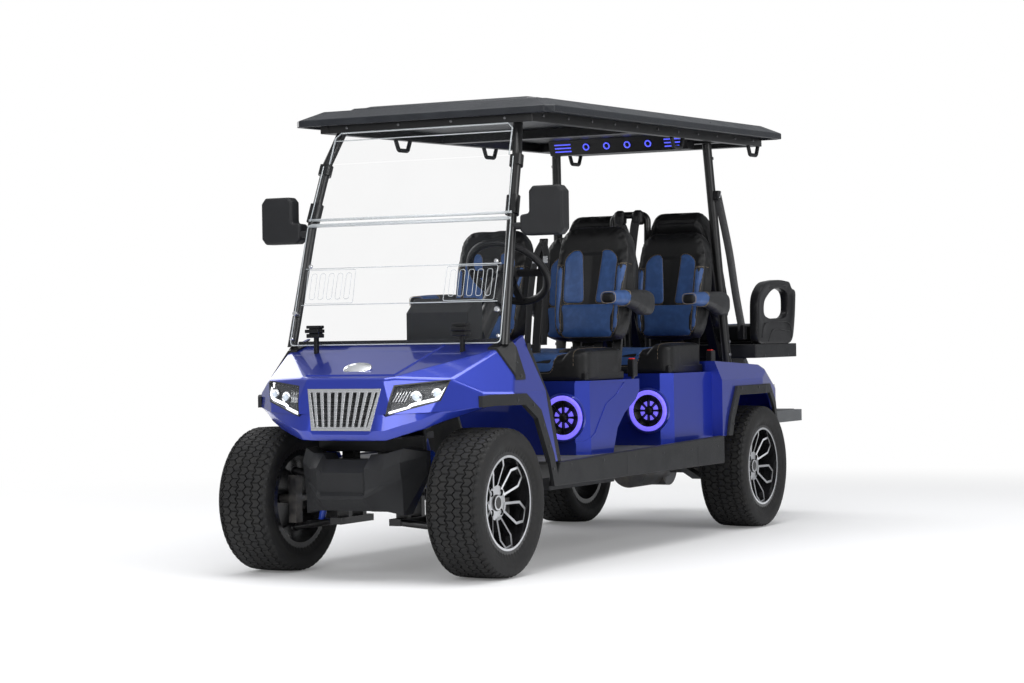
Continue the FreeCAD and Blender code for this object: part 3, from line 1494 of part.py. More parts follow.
def tail_hull(inset, low_z):
    """The solid form of the rear fenders, drawn in by the inset."""
    front, back = rear(size.second_box_rear_y) + inset, rear(size.rear_edge_y) - inset
    wide = size.rear_body_x - inset
    hull = block(-wide, wide, front, back, low_z, size.rear_top_z * 2)
    inside = vec(0, (front + back) / 2, size.rear_edge_z - size.overrun)
    top = size.rear_top_z
    mid = vec(0, rear(size.rear_mid_y), size.rear_mid_z)
    edge = vec(0, rear(size.rear_edge_y), size.rear_edge_z)
    lid = [vec(-wide, front, top), vec(wide, front, top), mid]
    slope = [mid, vec(wide, mid.y, mid.z), edge]
    lean = [vec(size.rear_body_x, front, size.waist_z), vec(size.rear_body_x, back, size.waist_z),
            vec(size.rear_top_x, front, top)]
    corner = [vec(size.rear_body_x, rear(size.rear_taper_y), top),
              vec(size.rear_body_x, rear(size.rear_taper_y), low_z),
              vec(size.rear_edge_x, rear(size.rear_edge_y), top)]
    planes = [lid, slope, lean, corner] + [[vec(-p.x, p.y, p.z) for p in points] for points in (lean,
                                                                                                corner)]
    for first, second, third in planes:
        hull = hull.common(half_space(first, second, third, inside, inset))
    radius = size.tail_round - inset
    if radius < size.panel_wall:
        return hull
    clear = front + size.seat_gap
    creases = [edge for edge in hull.Edges if edge.BoundBox.ZMin > low_z + size.seat_gap
               and edge.BoundBox.YMin > clear]
    return hull.makeFillet(radius, creases)


def cushion_recess(grow):
    """Room in the fenders' front for the rear of the second row's cushions."""
    half = size.cushion_width + size.cushion_gap / 2 + size.seat_gap + grow
    front = rear(size.second_box_front)
    back = front - size.cushion_lead + size.cushion_length + size.seat_gap + grow
    low = size.box_top_z + size.second_box_rise - grow
    return block(-half, half, front, back, low, size.rear_top_z + size.overrun)


def rear_body():
    """Second seat box joined to the rear fenders, hollow and open below."""
    wall = size.panel_wall
    front = hollow_box(rear(size.second_box_front), rear(size.second_box_rear_y) + wall, size.box_rear_x,
                       size.floor_z + size.seat_gap, size.box_top_z + size.second_box_rise)
    inner = tail_hull(wall, size.rear_low_z - size.overrun).cut(cushion_recess(wall))
    tail = tail_hull(0, size.rear_low_z).cut(cushion_recess(0)).cut(inner)
    arch = arch_prism(REAR_ARCH_SHARES, size.wheelbase, size.rear_arch_z, size.rear_arch_radius, 0)
    return speaker_holes(fuse([front, tail]).cut(arch))


def rear_flares():
    """Bands round the rear arches that stand proud of the fenders."""
    skin = tail_hull(-size.flare_depth,
                     size.rear_low_z).cut(tail_hull(-size.seat_gap, size.rear_low_z - size.overrun))
    ring = arch_prism(REAR_ARCH_SHARES, size.wheelbase, size.rear_arch_z, size.rear_arch_radius,
                      size.flare_width)
    ring = ring.cut(arch_prism(REAR_ARCH_SHARES, size.wheelbase, size.rear_arch_z, size.rear_arch_radius,
                               0))
    band = skin.common(ring)
    wide = size.rear_body_x + size.overrun
    return pair(band.common(block(size.rear_edge_x, wide, rear(size.second_box_rear_y),
                                  rear(size.rear_edge_y) + size.overrun,
                                  size.rear_low_z, size.rear_top_z)))


def speakers():
    """Round speakers with a stepped bezel, one to each side of both seat boxes."""
    bodies = []
    hole = size.speaker_radius - size.speaker_bezel - size.seat_gap
    rim = size.speaker_bezel
    section = [(0, 0), (hole * CONE_SHARE, -rim / 2), (hole, -rim), (size.speaker_radius, -rim / 2),
               (size.speaker_radius, -size.seat_gap), (hole, -size.seat_gap),
               (hole, size.speaker_depth - rim), (0, size.speaker_depth - rim)]
    for x, y in speaker_places():
        turned = face([vec(x + r, y + depth, size.speaker_z) for r, depth in section])
        bodies.append(turned.revolve(vec(x, y, size.speaker_z), vec(0, 1, 0), 360))
    return Part.makeCompound(bodies)


CONE_SHARE = 0.25


def tail_lamps():
    x, y = size.rear_edge_x - size.flare_depth, rear(size.rear_edge_y) + size.seat_gap
    return pair(block(x - size.tail_lamp_width, x, y, y + size.tail_lamp_depth,
                      size.rear_edge_z - size.tail_lamp_height, size.rear_edge_z))


feature("front_body", front_body())
feature("grille", grille())
feature("headlamps", headlamps())
feature("front_bumper", front_bumper())
feature("front_flares", front_flares())
feature("pillar_trims", pillar_trims())
feature("dashboard", dashboard())
feature("steering_column", steering_column())
feature("steering_wheel", hand_wheel())
feature("windshield_posts", windshield_posts())
lower_pane, upper_pane = windshield_panes()
feature("windshield_lower", lower_pane)
feature("windshield_upper", upper_pane)
feature("mirrors", mirrors())
feature("roof", roof_shell())
feature("roof_rails", roof_rails())
feature("grab_handles", grab_handles())
feature("rear_posts", rear_posts())
feature("seat_box_front", seat_box_front())
feature("rear_body", rear_body())
feature("rear_flares", rear_flares())
feature("speakers", speakers())
feature("tail_lamps", tail_lamps())


# Forward seats

BACK_OUTLINE_SHARES = ((0.4, 0.0), (0.5, 0.12), (0.5, 0.52), (0.42, 0.8), (0.26, 1.0))
ROWS = (("first", "Sizes.first_box_y", "Sizes.first_back_y", "0"),
        ("second", "Sizes.wheelbase + Sizes.second_box_front",
         "Sizes.wheelbase + Sizes.second_back_place", "Sizes.second_box_rise"))


def add_pair(label, body):
    """One node from a Body and its mirror image across the vehicle's middle."""
    other = doc.addObject("Part::Mirroring", label + "_right")
    other.Source = body
    other.Normal = vec(1, 0, 0)
    both = doc.addObject("Part::Compound", label)
    both.Label = label
    both.Links = [body, other]
    register(both)


def add_cushions(row, box_rule, rise_rule):
    """Bottom cushions: rounded blocks on the seat box."""
    label = "cushions_" + row
    half, corner = "Sizes.cushion_width / 2", "Sizes.cushion_corner"
    right = [("%s - %s" % (half, corner), "0"), (half, corner), (half, "Sizes.cushion_length - " + corner),
             ("%s - %s" % (half, corner), "Sizes.cushion_length")]
    rules = right + [("-(%s)" % across, along) for across, along in reversed(right)]
    body = padded_body(label + "_left", "XY_Plane", rules, "Sizes.cushion_height", "Sizes.cushion_round")
    body.setExpression("Placement.Base.x", "(Sizes.cushion_width + Sizes.cushion_gap) / 2")
    body.setExpression("Placement.Base.y", box_rule + " - Sizes.cushion_lead")
    body.setExpression("Placement.Base.z",
                       "Sizes.box_top_z + Sizes.seat_gap + Sizes.cushion_height / 2 + " + rise_rule)
    add_pair(label, body)


def add_backs(row, back_rule):
    """Seat backs: a shouldered outline padded fore and aft and leaned rearwards."""
    label = "seat_backs_" + row
    half = [("Sizes.back_width * %g" % across, "Sizes.back_height * %g" % up) for across,
            up in BACK_OUTLINE_SHARES]
    other = [("-" + across, up) for across, up in reversed(half)]
    body = padded_body(label + "_left", "XZ_Plane", half + other, "Sizes.back_thickness",
                       "Sizes.back_round")
    body.Placement.Rotation = FreeCAD.Rotation(vec(-1, 0, 0), size.back_lean)
    body.setExpression("Placement.Rotation.Angle", "Sizes.back_lean")
    body.setExpression("Placement.Base.x", "Sizes.back_x")
    body.setExpression("Placement.Base.y", back_rule)
    body.setExpression("Placement.Base.z", "Sizes.back_z")
    add_pair(label, body)


for row_name, row_box, row_back, row_rise in ROWS:
    add_cushions(row_name, row_box, row_rise)
    add_backs(row_name, row_back)


def back_rear_y(back_y, z):
    """Where the rear face of a leaned seat back is at a height."""
    lean = math.radians(size.back_lean)
    return back_y + size.back_thickness / 2 / math.cos(lean) + (z - size.back_z) * math.tan(lean)


def seat_brackets():
    """Flat bars that carry the seat backs, from the first box's rear wall and the second box's lid."""
    bars = []
    wide, thick, gap = size.bracket_width, size.bracket_thickness, size.seat_gap
    top = size.back_z + size.back_height * BRACKET_REACH_SHARE
    first_wall = size.first_box_y + size.first_box_length + gap
    foot_top = size.box_top_z - gap
    foot_low = foot_top - size.overrun / 2
    lid = tail_hull(-gap, size.rear_low_z)
    for back_y, low_z in ((size.first_back_y, foot_top), (rear(size.second_back_place), size.rear_mid_z)):
        low_y, high_y = back_rear_y(back_y, low_z) + gap, back_rear_y(back_y, top) + gap
        profile = [(low_y, low_z), (high_y, top), (high_y + thick, top), (low_y + thick, low_z)]
        if low_z == foot_top:
            profile = profile[:3] + [(low_y + thick, foot_low), (first_wall, foot_low),
                                     (first_wall, foot_top)]
        for side in (LEFT, RIGHT):
            for lean in (-1, 1):
                x = side * size.back_x + lean * size.back_width * BRACKET_PLACE_SHARE
                bars.append(along_x(profile, x - wide / 2, x + wide / 2).cut(lid))
    return Part.makeCompound(bars)


BRACKET_REACH_SHARE = 0.5
BRACKET_PLACE_SHARE = 0.27


def armrests():
    """Outboard padded arms beside the seat backs, slim at the tip and deep beside the back."""
    arms = []
    inner = size.back_x + size.back_width / 2 + size.seat_gap
    outer = size.armrest_x + size.armrest_width / 2
    for back_y in (size.first_back_y, rear(size.second_back_place)):
        front = back_y - size.armrest_lead
        profile = [(front + along * size.armrest_length, size.armrest_z + up * size.armrest_height)
                   for along, up in ARM_SHARES]
        pad = along_x(profile, inner, outer)
        arms.append(pad.makeFillet(size.armrest_round, pad.Edges))
    return Part.makeCompound(arms + [mirrored(arm) for arm in arms])


ARM_SHARES = ((0.0, 0.6), (0.04, 0.8), (0.55, 0.92), (0.92, 1.0), (1.0, 0.82), (0.97, 0.1), (0.78, 0.0),
              (0.6, 0.3), (0.3, 0.5))


# Rear-facing bench

def rear_tray():
    """Base tray over the rear body, on a plinth that stands on the fenders' lid."""
    front, back, wall = rear(size.tray_front), rear(size.tray_rear), size.bumper_wall
    wide = size.tray_half_width
    tray = block(-wide, wide, front, back, size.tray_low_z, size.tray_top_z)
    hollow = block(-wide + wall, wide - wall, front + wall, back - wall, size.tray_low_z - wall,
                   size.tray_top_z - wall)
    half, plinth_back = size.rear_back_x + size.rear_back_width / 2, rear(size.rear_edge_y) - size.overrun
    plinth = block(-half, half, front + wall, plinth_back, size.rear_edge_z, size.tray_top_z - wall)
    return fuse([tray.cut(hollow), plinth.cut(tail_hull(-size.seat_gap, size.rear_low_z))])


def rear_cushion():
    """Bench cushion that turns over about its rear lower edge to make a deck."""
    back = rear(size.tray_rear)
    wide = size.rear_cushion_half_width
    low = size.tray_top_z + size.seat_gap
    pad = block(-wide, wide, back - size.rear_cushion_length, back, low, low + size.rear_cushion_height)
    return pad.makeFillet(size.cushion_round * REAR_ROUND_SHARE, pad.Edges)


REAR_ROUND_SHARE = 0.6


def rear_backs():
    """Two rear-facing seat backs, leaned forwards at the top."""
    low, high, through = rear_back_line()
    across = through * size.rear_back_thickness
    profile = [low, high, high + across * REAR_TOP_SHARE, low + across]
    backs = []
    for side in (LEFT, RIGHT):
        x = side * size.rear_back_x
        pad = along_x([(p.y, p.z) for p in profile], x - size.rear_back_width / 2,
                      x + size.rear_back_width / 2)
        backs.append(pad.makeFillet(size.back_round * REAR_ROUND_SHARE, pad.Edges))
    return Part.makeCompound(backs)


def rear_back_line():
    """Lower and upper corners of the rear backs' faces, and the way through their thickness."""
    low = vec(0, rear(size.rear_back_low_y), size.rear_back_low_z)
    high = vec(0, rear(size.rear_back_top_y), size.rear_back_top_z)
    way = (high - low).normalize()
    return low, high, vec(0, -way.z, way.y)


def rear_back_brackets():
    """Flat bars from the tray's front wall up the hidden faces of the rear backs."""
    low, high, through = rear_back_line()
    thick, gap = size.bracket_thickness, size.seat_gap
    front = rear(size.tray_front) - gap
    corner = low + through * (size.rear_back_thickness + gap)
    reach = corner + (high - low) * BRACKET_REACH_SHARE + through * (gap - size.rear_back_thickness * (
        1 - REAR_TOP_SHARE) * BRACKET_REACH_SHARE)
    profile = [(front, size.tray_low_z), (front, size.tray_top_z), (corner.y, corner.z), (reach.y, reach.z)]
    outer = [(reach + through * thick), (corner + through * thick)]
    profile += [(p.y, p.z) for p in outer] + [(front - thick, size.tray_low_z)]
    bars = []
    for lean in (-1, 1):
        x = size.rear_back_x + lean * size.rear_back_width * BRACKET_PLACE_SHARE
        bars.append(along_x(profile, x - size.bracket_width / 2, x + size.bracket_width / 2))
    return Part.makeCompound(bars + [mirrored(item) for item in bars])


REAR_TOP_SHARE = 0.8
REAR_ARM_SHARES = ((0.0, 0.0), (0.02, 0.78), (0.1, 0.92), (0.54, 1.0), (0.86, 0.98), (1.0, 0.84),
                   (0.86, 0.0))
REAR_ARM_HOLE_SHARES = ((0.14, 0.42), (0.18, 0.78), (0.56, 0.86), (0.84, 0.8), (0.78, 0.3), (0.46, 0.26))


def rear_armrests():
    """D-shaped side covers with a hand opening, standing on the tray."""
    start, length = rear(size.tray_front) + size.bumper_wall, size.tray_rear - size.tray_front - 2 * size.bumper_wall
    low = size.tray_top_z + size.seat_gap
    tall = size.rear_armrest_top - low
    inner = size.rear_armrest_x - size.rear_armrest_width / 2
    outer = inner + size.rear_armrest_width
    outline = [(start + length * along, low + tall * up) for along, up in REAR_ARM_SHARES]
    hole = [(start + length * along, low + tall * up) for along, up in REAR_ARM_HOLE_SHARES]
    return pair(along_x(outline, inner,
                        outer).cut(along_x(hole, inner - size.overrun, outer + size.overrun)))


def footrest():
    """Bent legs from the tray to the step plate, with its raised tread and stays to the rails."""
    x = size.leg_x
    legs = []
    for side in (LEFT, RIGHT):
        places = [vec(side * x, rear(size.leg_top_y), size.tray_low_z - size.seat_gap),
                  vec(side * x, rear(size.leg_bend_y), size.leg_bend_z),
                  vec(side * x, rear(size.leg_foot_y), size.step_top_z - size.overrun / 2)]
        legs.append(tube(places, size.leg_radius, size.post_bend))
    wide = size.step_half_width
    step = block(-wide, wide, rear(size.step_front), rear(size.rear_reach), size.step_low_z,
                 size.step_top_z)
    upright = [edge for edge in step.Edges if edge.BoundBox.ZLength > size.leg_radius]
    step = step.makeFillet(size.step_round, upright)
    tread = wide - size.step_pad_inset
    pad = block(-tread, tread, rear(size.leg_foot_y) + size.leg_radius + size.step_pad_gap,
                rear(size.rear_reach) - size.step_pad_rear, size.step_top_z,
                size.step_top_z + size.step_pad_rise)
    stays = [block(side * size.rail_x - size.leg_radius, side * size.rail_x + size.leg_radius,
                   rear(size.step_front), rear(size.rail_rear),
                   size.rail_bottom + size.rail_height + size.seat_gap,
                   size.step_low_z) for side in (LEFT, RIGHT)]
    return fuse(legs + [step, pad] + stays)


def belt_hoops():
    """Slim bent hoop between the rows' backs that carries the belt reels."""
    low_x, low_y = size.hoop_foot_x, rear(size.hoop_foot_y)
    x, y = size.hoop_x, rear(size.hoop_y)
    half = [vec(low_x, low_y, size.rear_edge_z), vec(low_x, low_y, size.hoop_waist_z),
            vec(x, y, size.hoop_shoulder_z), vec(x, y, size.hoop_top_z)]
    places = half + [vec(-place.x, place.y, place.z) for place in reversed(half)]
    return tube(places, size.hoop_radius, size.post_bend).cut(tail_hull(-size.seat_gap, size.rear_low_z))


def light_bar():
    """Overhead bar under the roof with a slanted face and four round lamps."""
    top, y = rail_top(), rear(size.light_bar_place)
    low, deep = top - size.light_bar_height, size.light_bar_depth
    slant = deep * LIGHT_SLANT_SHARE
    profile = [(y, top), (y + slant, low), (y + deep - slant, low), (y + deep, top)]
    bar = along_x(profile, -size.light_bar_width / 2, size.light_bar_width / 2)
    face_way = vec(0, low - top, -slant).normalize()
    rings = []
    for across in LIGHT_RING_SHARES:
        middle = vec(across * size.light_bar_width, y + slant / 2, (top + low) / 2)
        rings.append(rod(middle - face_way * size.light_ring_rise, middle + face_way * size.light_ring_rise,
                         size.light_ring_radius))
    return pitched(fuse([bar] + rings))


LIGHT_SLANT_SHARE = 0.2
LIGHT_RING_SHARES = (-0.225, -0.075, 0.075, 0.225)

feature("seat_brackets", seat_brackets())
feature("armrests", armrests())
feature("rear_tray", rear_tray())
feature("rear_cushion", rear_cushion())
feature("rear_backs", rear_backs())
feature("rear_back_brackets", rear_back_brackets())
feature("rear_armrests", rear_armrests())
feature("footrest", footrest())
feature("belt_hoop", belt_hoops())
feature("light_bar", light_bar())


doc.recompute()
for item in doc.Objects:
    if "Invalid" in item.State or "Error" in item.State:
        raise RuntimeError("%s did not build" % item.Label)
os.makedirs("parts", exist_ok=True)
for node in nodes:
    if node.Shape.isNull() or not node.Shape.isValid():
        raise RuntimeError("%s has no valid shape" % node.Label)
    node.Shape.exportStep("parts/%s.step" % node.Label)
print("%d nodes" % len(nodes))
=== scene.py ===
"""Dresses the golf cart's construction model: finishes, tyres, upholstery, lamps and small hardware."""

import math

import bmesh
import bpy
from mathutils import Matrix, Vector
from mathutils.bvhtree import BVHTree


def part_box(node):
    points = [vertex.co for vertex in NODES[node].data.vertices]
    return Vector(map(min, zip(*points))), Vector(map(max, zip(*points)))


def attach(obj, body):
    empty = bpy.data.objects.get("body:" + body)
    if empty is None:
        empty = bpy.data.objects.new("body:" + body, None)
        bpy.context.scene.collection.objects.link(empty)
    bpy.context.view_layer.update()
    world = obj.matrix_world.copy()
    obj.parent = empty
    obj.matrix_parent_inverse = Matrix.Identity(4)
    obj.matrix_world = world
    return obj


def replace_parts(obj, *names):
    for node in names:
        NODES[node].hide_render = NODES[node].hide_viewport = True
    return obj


bl_info = {
    "name": "Golf cart dresser",
    "version": (1, 0, 0),
    "blender": (4, 5, 0),
    "location": "View3D > Sidebar > Golf cart",
    "description": "Finishes and detail pieces for a six-seat golf cart",
    "category": "Object",
}

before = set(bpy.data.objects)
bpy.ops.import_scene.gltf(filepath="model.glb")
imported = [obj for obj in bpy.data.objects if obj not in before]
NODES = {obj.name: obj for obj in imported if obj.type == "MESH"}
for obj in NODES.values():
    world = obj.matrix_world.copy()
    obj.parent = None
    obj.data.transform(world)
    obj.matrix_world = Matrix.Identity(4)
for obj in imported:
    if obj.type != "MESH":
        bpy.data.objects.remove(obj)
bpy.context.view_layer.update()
SIDES = (("left", 1), ("right", -1))
ENDS = ("front", "rear")
ROWS = ("first", "second")
MM = 0.001


# Settings that a user would change

class CartLooks(bpy.types.PropertyGroup):
    """Colours and small sizes of the dressed cart."""

    paint: bpy.props.FloatVectorProperty(
        name="Paint", description="Metallic colour of the body panels", subtype="COLOR",
        default=(0.016, 0.040, 0.42), min=0, max=1)
    inserts: bpy.props.FloatVectorProperty(
        name="Seat inserts", description="Colour of the leather inserts", subtype="COLOR",
        default=(0.032, 0.078, 0.215), min=0, max=1)
    leather: bpy.props.FloatVectorProperty(
        name="Leather", description="Colour of the seats' black leather", subtype="COLOR",
        default=(0.0075, 0.0075, 0.008), min=0, max=1)
    trim: bpy.props.FloatVectorProperty(
        name="Trim", description="Colour of the grained plastic trim", subtype="COLOR",
        default=(0.013, 0.0135, 0.015), min=0, max=1)
    glow: bpy.props.FloatVectorProperty(
        name="Ring light", description="Colour of the speakers' light rings", subtype="COLOR",
        default=(0.15, 0.11, 0.90), min=0, max=1)
    thread: bpy.props.FloatVectorProperty(
        name="Thread", description="Colour of the stitching", subtype="COLOR",
        default=(0.30, 0.24, 0.17), min=0, max=1)
    tread_depth: bpy.props.FloatProperty(
        name="Tread depth", description="Depth of the tyres' grooves", subtype="DISTANCE", unit="LENGTH",
        default=0.007, min=0.001, max=0.012)
    stitch_length: bpy.props.FloatProperty(
        name="Stitch", description="Length of one stitch", subtype="DISTANCE", unit="LENGTH",
        default=0.0042, min=0.002, max=0.01)
    floor_size: bpy.props.FloatProperty(
        name="Floor", description="Half width of the studio floor", subtype="DISTANCE", unit="LENGTH",
        default=40, min=5, max=100)


def looks():
    """The scene's settings."""
    return bpy.context.scene.cart_looks


# Shader maths

SOCKETS = {
    "colour": "Base Color", "rough": "Roughness", "metal": "Metallic", "coat": "Coat Weight",
    "coat_rough": "Coat Roughness", "alpha": "Alpha", "glow": "Emission Color",
    "glow_strength": "Emission Strength", "normal": "Normal", "specular": "Specular IOR Level",
    "sheen": "Sheen Weight", "ior": "IOR",
}


def summed(operation, flipped=False):
    """A Wire operator that adds a Math node, with the wire as the second value where flipped."""
    def act(self, *other):
        return self.finish.sum(operation, *((*other, self) if flipped else (self, *other)))
    return act


class Wire:
    """A node's output that takes part in sums."""

    def __init__(self, finish, socket):
        self.finish = finish
        self.socket = socket

    __add__, __radd__ = summed("ADD"), summed("ADD", True)
    __sub__, __rsub__ = summed("SUBTRACT"), summed("SUBTRACT", True)
    __mul__, __rmul__ = summed("MULTIPLY"), summed("MULTIPLY", True)
    __pow__, __abs__ = summed("POWER"), summed("ABSOLUTE")
    __gt__, __lt__ = summed("GREATER_THAN"), summed("LESS_THAN")


class Finish:
    """One procedural material around its Principled shader."""

    def __init__(self, name, **fixed):
        self.material = bpy.data.materials.new(name)
        self.material.use_nodes = True
        self.tree = self.material.node_tree
        self.shader = self.tree.nodes["Principled BSDF"]
        self.place = self.node("ShaderNodeTexCoord", output="Object")
        self.set(**fixed)

    def feed(self, socket, value):
        if isinstance(value, Wire):
            self.tree.links.new(value.socket, socket)
        elif socket.type == "RGBA":
            socket.default_value = (*tuple(value)[:3], 1.0)
        else:
            socket.default_value = value

    def node(self, kind, settings=None, sockets=None, output=0):
        """Adds a node: its settings first, then its sockets, and returns one output."""
        made = self.tree.nodes.new(kind)
        for key, value in (settings or {}).items():
            setattr(made, key, value)
        for key, value in (sockets or {}).items():
            self.feed(made.inputs[key], value)
        return Wire(self, made.outputs[output])

    def set(self, **values):
        """Feeds the shader's own sockets, by the short names above."""
        for key, value in values.items():
            self.feed(self.shader.inputs[SOCKETS[key]], value)
        return self

    def sum(self, operation, *values):
        return self.node("ShaderNodeMath", {"operation": operation}, dict(enumerate(values)))

    def mix(self, factor, first, second):
        return self.node("ShaderNodeMix", {"data_type": "RGBA"}, {0: factor, 6: first, 7: second}, output=2)

    def smooth(self, value, low, high):
        """0 below low, 1 above high and an even slope between."""
        return self.node("ShaderNodeMapRange", {"interpolation_type": "SMOOTHSTEP"},
                         {"Value": value, "From Min": low, "From Max": high})

    def noise(self, scale, detail, place=None):
        return self.node("ShaderNodeTexNoise", None,
                         {"Vector": place or self.place, "Scale": scale, "Detail": detail}, output="Fac")

    def cells(self, scale):
        return self.node("ShaderNodeTexVoronoi", None, {"Vector": self.place, "Scale": scale},
                         output="Distance")

    def axes(self, vector=None):
        parts = self.node("ShaderNodeSeparateXYZ", None, {"Vector": vector or self.place})
        return [Wire(self, parts.socket.node.outputs[axis]) for axis in "XYZ"]

    def turned(self):
        """The surface's own direction at rest."""
        return self.axes(self.node("ShaderNodeTexCoord", output="Normal"))

    def bump(self, height, strength, distance):
        return self.node("ShaderNodeBump", None,
                         {"Height": height, "Strength": strength, "Distance": distance},
                         output="Normal")

    def radius_from(self, y, z):
        """Distance from an axle that runs across the cart."""
        _, along, up = self.axes()
        return self.sum("SQRT", (along - y) ** 2 + (up - z) ** 2)


# Finishes

def toned(colour, by, lift=0.0):
    """A deeper or paler colour."""
    return tuple(min(1.0, c * by + lift) for c in colour)


def paint_finish(name="body_paint"):
    """Metallic blue under clear coat, with flakes and a faint orange peel."""
    made = Finish(name, coat=1.0, coat_rough=0.03, ior=1.5)
    flakes = made.noise(2600, 1)
    drift = made.smooth(made.noise(2.4, 2), 0.35, 0.65)
    deep = toned(looks().paint, 0.82)
    colour = made.mix(drift * 0.5 + flakes * 0.5, deep, looks().paint)
    made.set(colour=colour, metal=0.62, rough=0.26 + flakes * 0.12)
    made.set(normal=made.bump(made.noise(240, 1), 0.05, 0.0006))
    return made.material


def plastic_finish(name, colour, rough=0.52, grain=1100, depth=0.35):
    """Moulded plastic with a fine leather-like grain and slight rub marks."""
    made = Finish(name, specular=0.27)
    pits = made.cells(grain)
    rub = made.smooth(made.noise(9, 4), 0.42, 0.72)
    pale = toned(colour, 1.35)
    made.set(colour=made.mix(rub * 0.6, colour, pale), rough=rough + rub * 0.10 - pits * 0.08)
    made.set(normal=made.bump(pits, depth, 0.0005))
    return made.material


def shell_finish(name="nose_shell"):
    """The body's paint outside; inside, below and behind its faces, low in the middle and in the arches it is
    painted black as shade.
    """
    made = Finish(name, coat_rough=0.03, ior=1.5)
    across, forward, upward = made.turned()
    x, y, z = made.axes()
    side = made.sum("SIGN", x)
    under = made.smooth(upward * -1, 0.15, 0.35)
    inward = made.smooth(across * side * -1, 0.15, 0.35)
    deep = (z < 0.60) * (abs(x) < 0.45)
    arch = made.smooth(forward * -1, 0.3, 0.5) * (y > -1.45) * (z < 0.70)
    # inside: painted shade, black where the shell faces down or inwards, sits low in the middle or faces
    # forward in the arches
    inside = made.sum("MAXIMUM", made.sum("MAXIMUM", under, inward), made.sum("MAXIMUM", deep, arch))
    flakes = made.noise(2600, 1)
    deep_tone = toned(looks().paint, 0.82)
    # the black (0.006) mixed in here is the painted shade, with no metal or coat
    colour = made.mix(inside, made.mix(flakes, deep_tone, looks().paint), (0.006, 0.006, 0.0065))
    made.set(colour=colour, metal=0.62 * (1 - inside), coat=1 - inside)
    made.set(rough=0.26 + flakes * 0.12 + inside * 0.3)
    made.set(normal=made.bump(made.noise(240, 1), 0.05, 0.0006))
    return made.material


def steel_finish(name="powder_coat", colour=(0.007, 0.007, 0.0075), rough=0.30):
    """Black powder coat with its pebbled skin."""
    made = Finish(name, specular=0.5)
    peel = made.noise(520, 2)
    wear = made.smooth(made.noise(14, 5), 0.55, 0.8)
    made.set(colour=made.mix(wear * 0.4, colour, toned(colour, 1.8)), rough=rough + wear * 0.12)
    made.set(normal=made.bump(peel, 0.16, 0.0008))
    return made.material


def cast_finish(name="cast_metal", colour=(0.10, 0.10, 0.105)):
    """Cast and machined running gear, a little dusty."""
    made = Finish(name, specular=0.5)
    dust = made.smooth(made.noise(22, 5), 0.40, 0.70)
    made.set(colour=made.mix(dust, colour, (0.16, 0.15, 0.14)), metal=0.75 - dust * 0.5,
             rough=0.38 + dust * 0.3)
    made.set(normal=made.bump(made.noise(330, 4), 0.3, 0.0012))
    return made.material


def spring_finish():
    """Blue coil springs and dampers."""
    made = Finish("damper", specular=0.5, coat=0.6)
    made.set(colour=made.mix(made.noise(60, 3), (0.012, 0.05, 0.42), (0.02, 0.075, 0.55)), rough=0.32)
    made.set(normal=made.bump(made.noise(420, 3), 0.15, 0.0008))
    return made.material


def alloy_finish(name, side, y, z):
    """Black wheel with machined spoke faces: what faces straight outwards is bare metal."""
    made = Finish(name, specular=0.5)
    across, _, _ = made.turned()
    facing = made.smooth(across * side, 0.90, 0.955)
    reach = made.radius_from(y, z)
    face = facing * made.smooth(reach, 0.020, 0.024) * (1 - made.smooth(reach, 0.1765, 0.1785))
    rings = made.sum("SINE", reach * 9000) * 0.5 + 0.5
    bright = made.mix(rings, (0.62, 0.63, 0.65), (0.78, 0.79, 0.81))
    made.set(colour=made.mix(face, (0.010, 0.010, 0.011), bright), metal=face * 0.95,
             rough=0.24 + face * 0.05)
    made.set(normal=made.bump(rings * face, 0.12, 0.0002))
    return made.material


def rubber_finish(name="tyre_rubber"):
    """Tyre rubber: dull, faintly brown on the walls."""
    made = Finish(name, specular=0.34)
    dust = made.smooth(made.noise(26, 6), 0.35, 0.75)
    made.set(colour=made.mix(dust, (0.0085, 0.0085, 0.009), (0.017, 0.0165, 0.016)), rough=0.62 + dust * 0.16)
    made.set(normal=made.bump(made.noise(900, 3), 0.25, 0.0006))
    return made.material


def leather_finish(name, colour, weave=False):
    """Soft leather: grain cells and folds, or a fine diagonal weave on the inserts."""
    made = Finish(name, specular=0.30)
    grain = made.cells(760)
    folds = made.noise(34, 4)
    height = grain * 0.6 + folds * 0.5
    if weave:
        x, _, z = made.axes()
        pitch = 1570
        height = made.sum("SINE", (x + z) * pitch) * made.sum("SINE", (x - z) * pitch) * 0.3 + folds * 0.4
    pale = toned(colour, 1.5)
    made.set(colour=made.mix(made.smooth(folds, 0.4, 0.75) * 0.6, colour, pale), rough=0.36 + grain * 0.16)
    made.set(normal=made.bump(height, 0.12 if weave else 0.24, 0.0010))
    return made.material


def mesh_finish(name="grille_mesh"):
    """Black mesh behind the grille: a honeycomb of pits, painted darker in the pits as shade."""
    made = Finish(name, specular=0.3)
    pits = made.smooth(made.cells(110), 0.25, 0.40)
    # the darker colour in the pits is painted shade; the bump sinks the same pits
    made.set(colour=made.mix(pits, (0.018, 0.018, 0.020), (0.004, 0.004, 0.004)), rough=0.45 + pits * 0.3)
    made.set(normal=made.bump(pits * -1, 0.8, 0.002))
    return made.material


def glass_finish(name="pane", thin=0.03, tone=(0.10, 0.11, 0.12)):
    """Clear acrylic, with a trace of haze."""
    made = Finish(name, specular=0.5, rough=0.02, ior=1.45)
    haze = made.noise(5, 2)
    made.set(colour=made.mix(haze, tone, toned(tone, 0.85)), alpha=haze * 0.02 + thin)
    return made.material


def chrome_finish(name="bright_trim", colour=(0.72, 0.73, 0.75), rough=0.20):
    """Satin bright metal, brushed faintly across."""
    made = Finish(name, specular=0.5)
    _, _, z = made.axes()
    brush = made.noise(900, 2, made.node("ShaderNodeCombineXYZ", None, {"Z": z}))
    made.set(colour=made.mix(brush * 0.5, colour, toned(colour, 0.82)), metal=0.9, rough=rough + brush * 0.12)
    made.set(normal=made.bump(brush, 0.06, 0.0003))
    return made.material


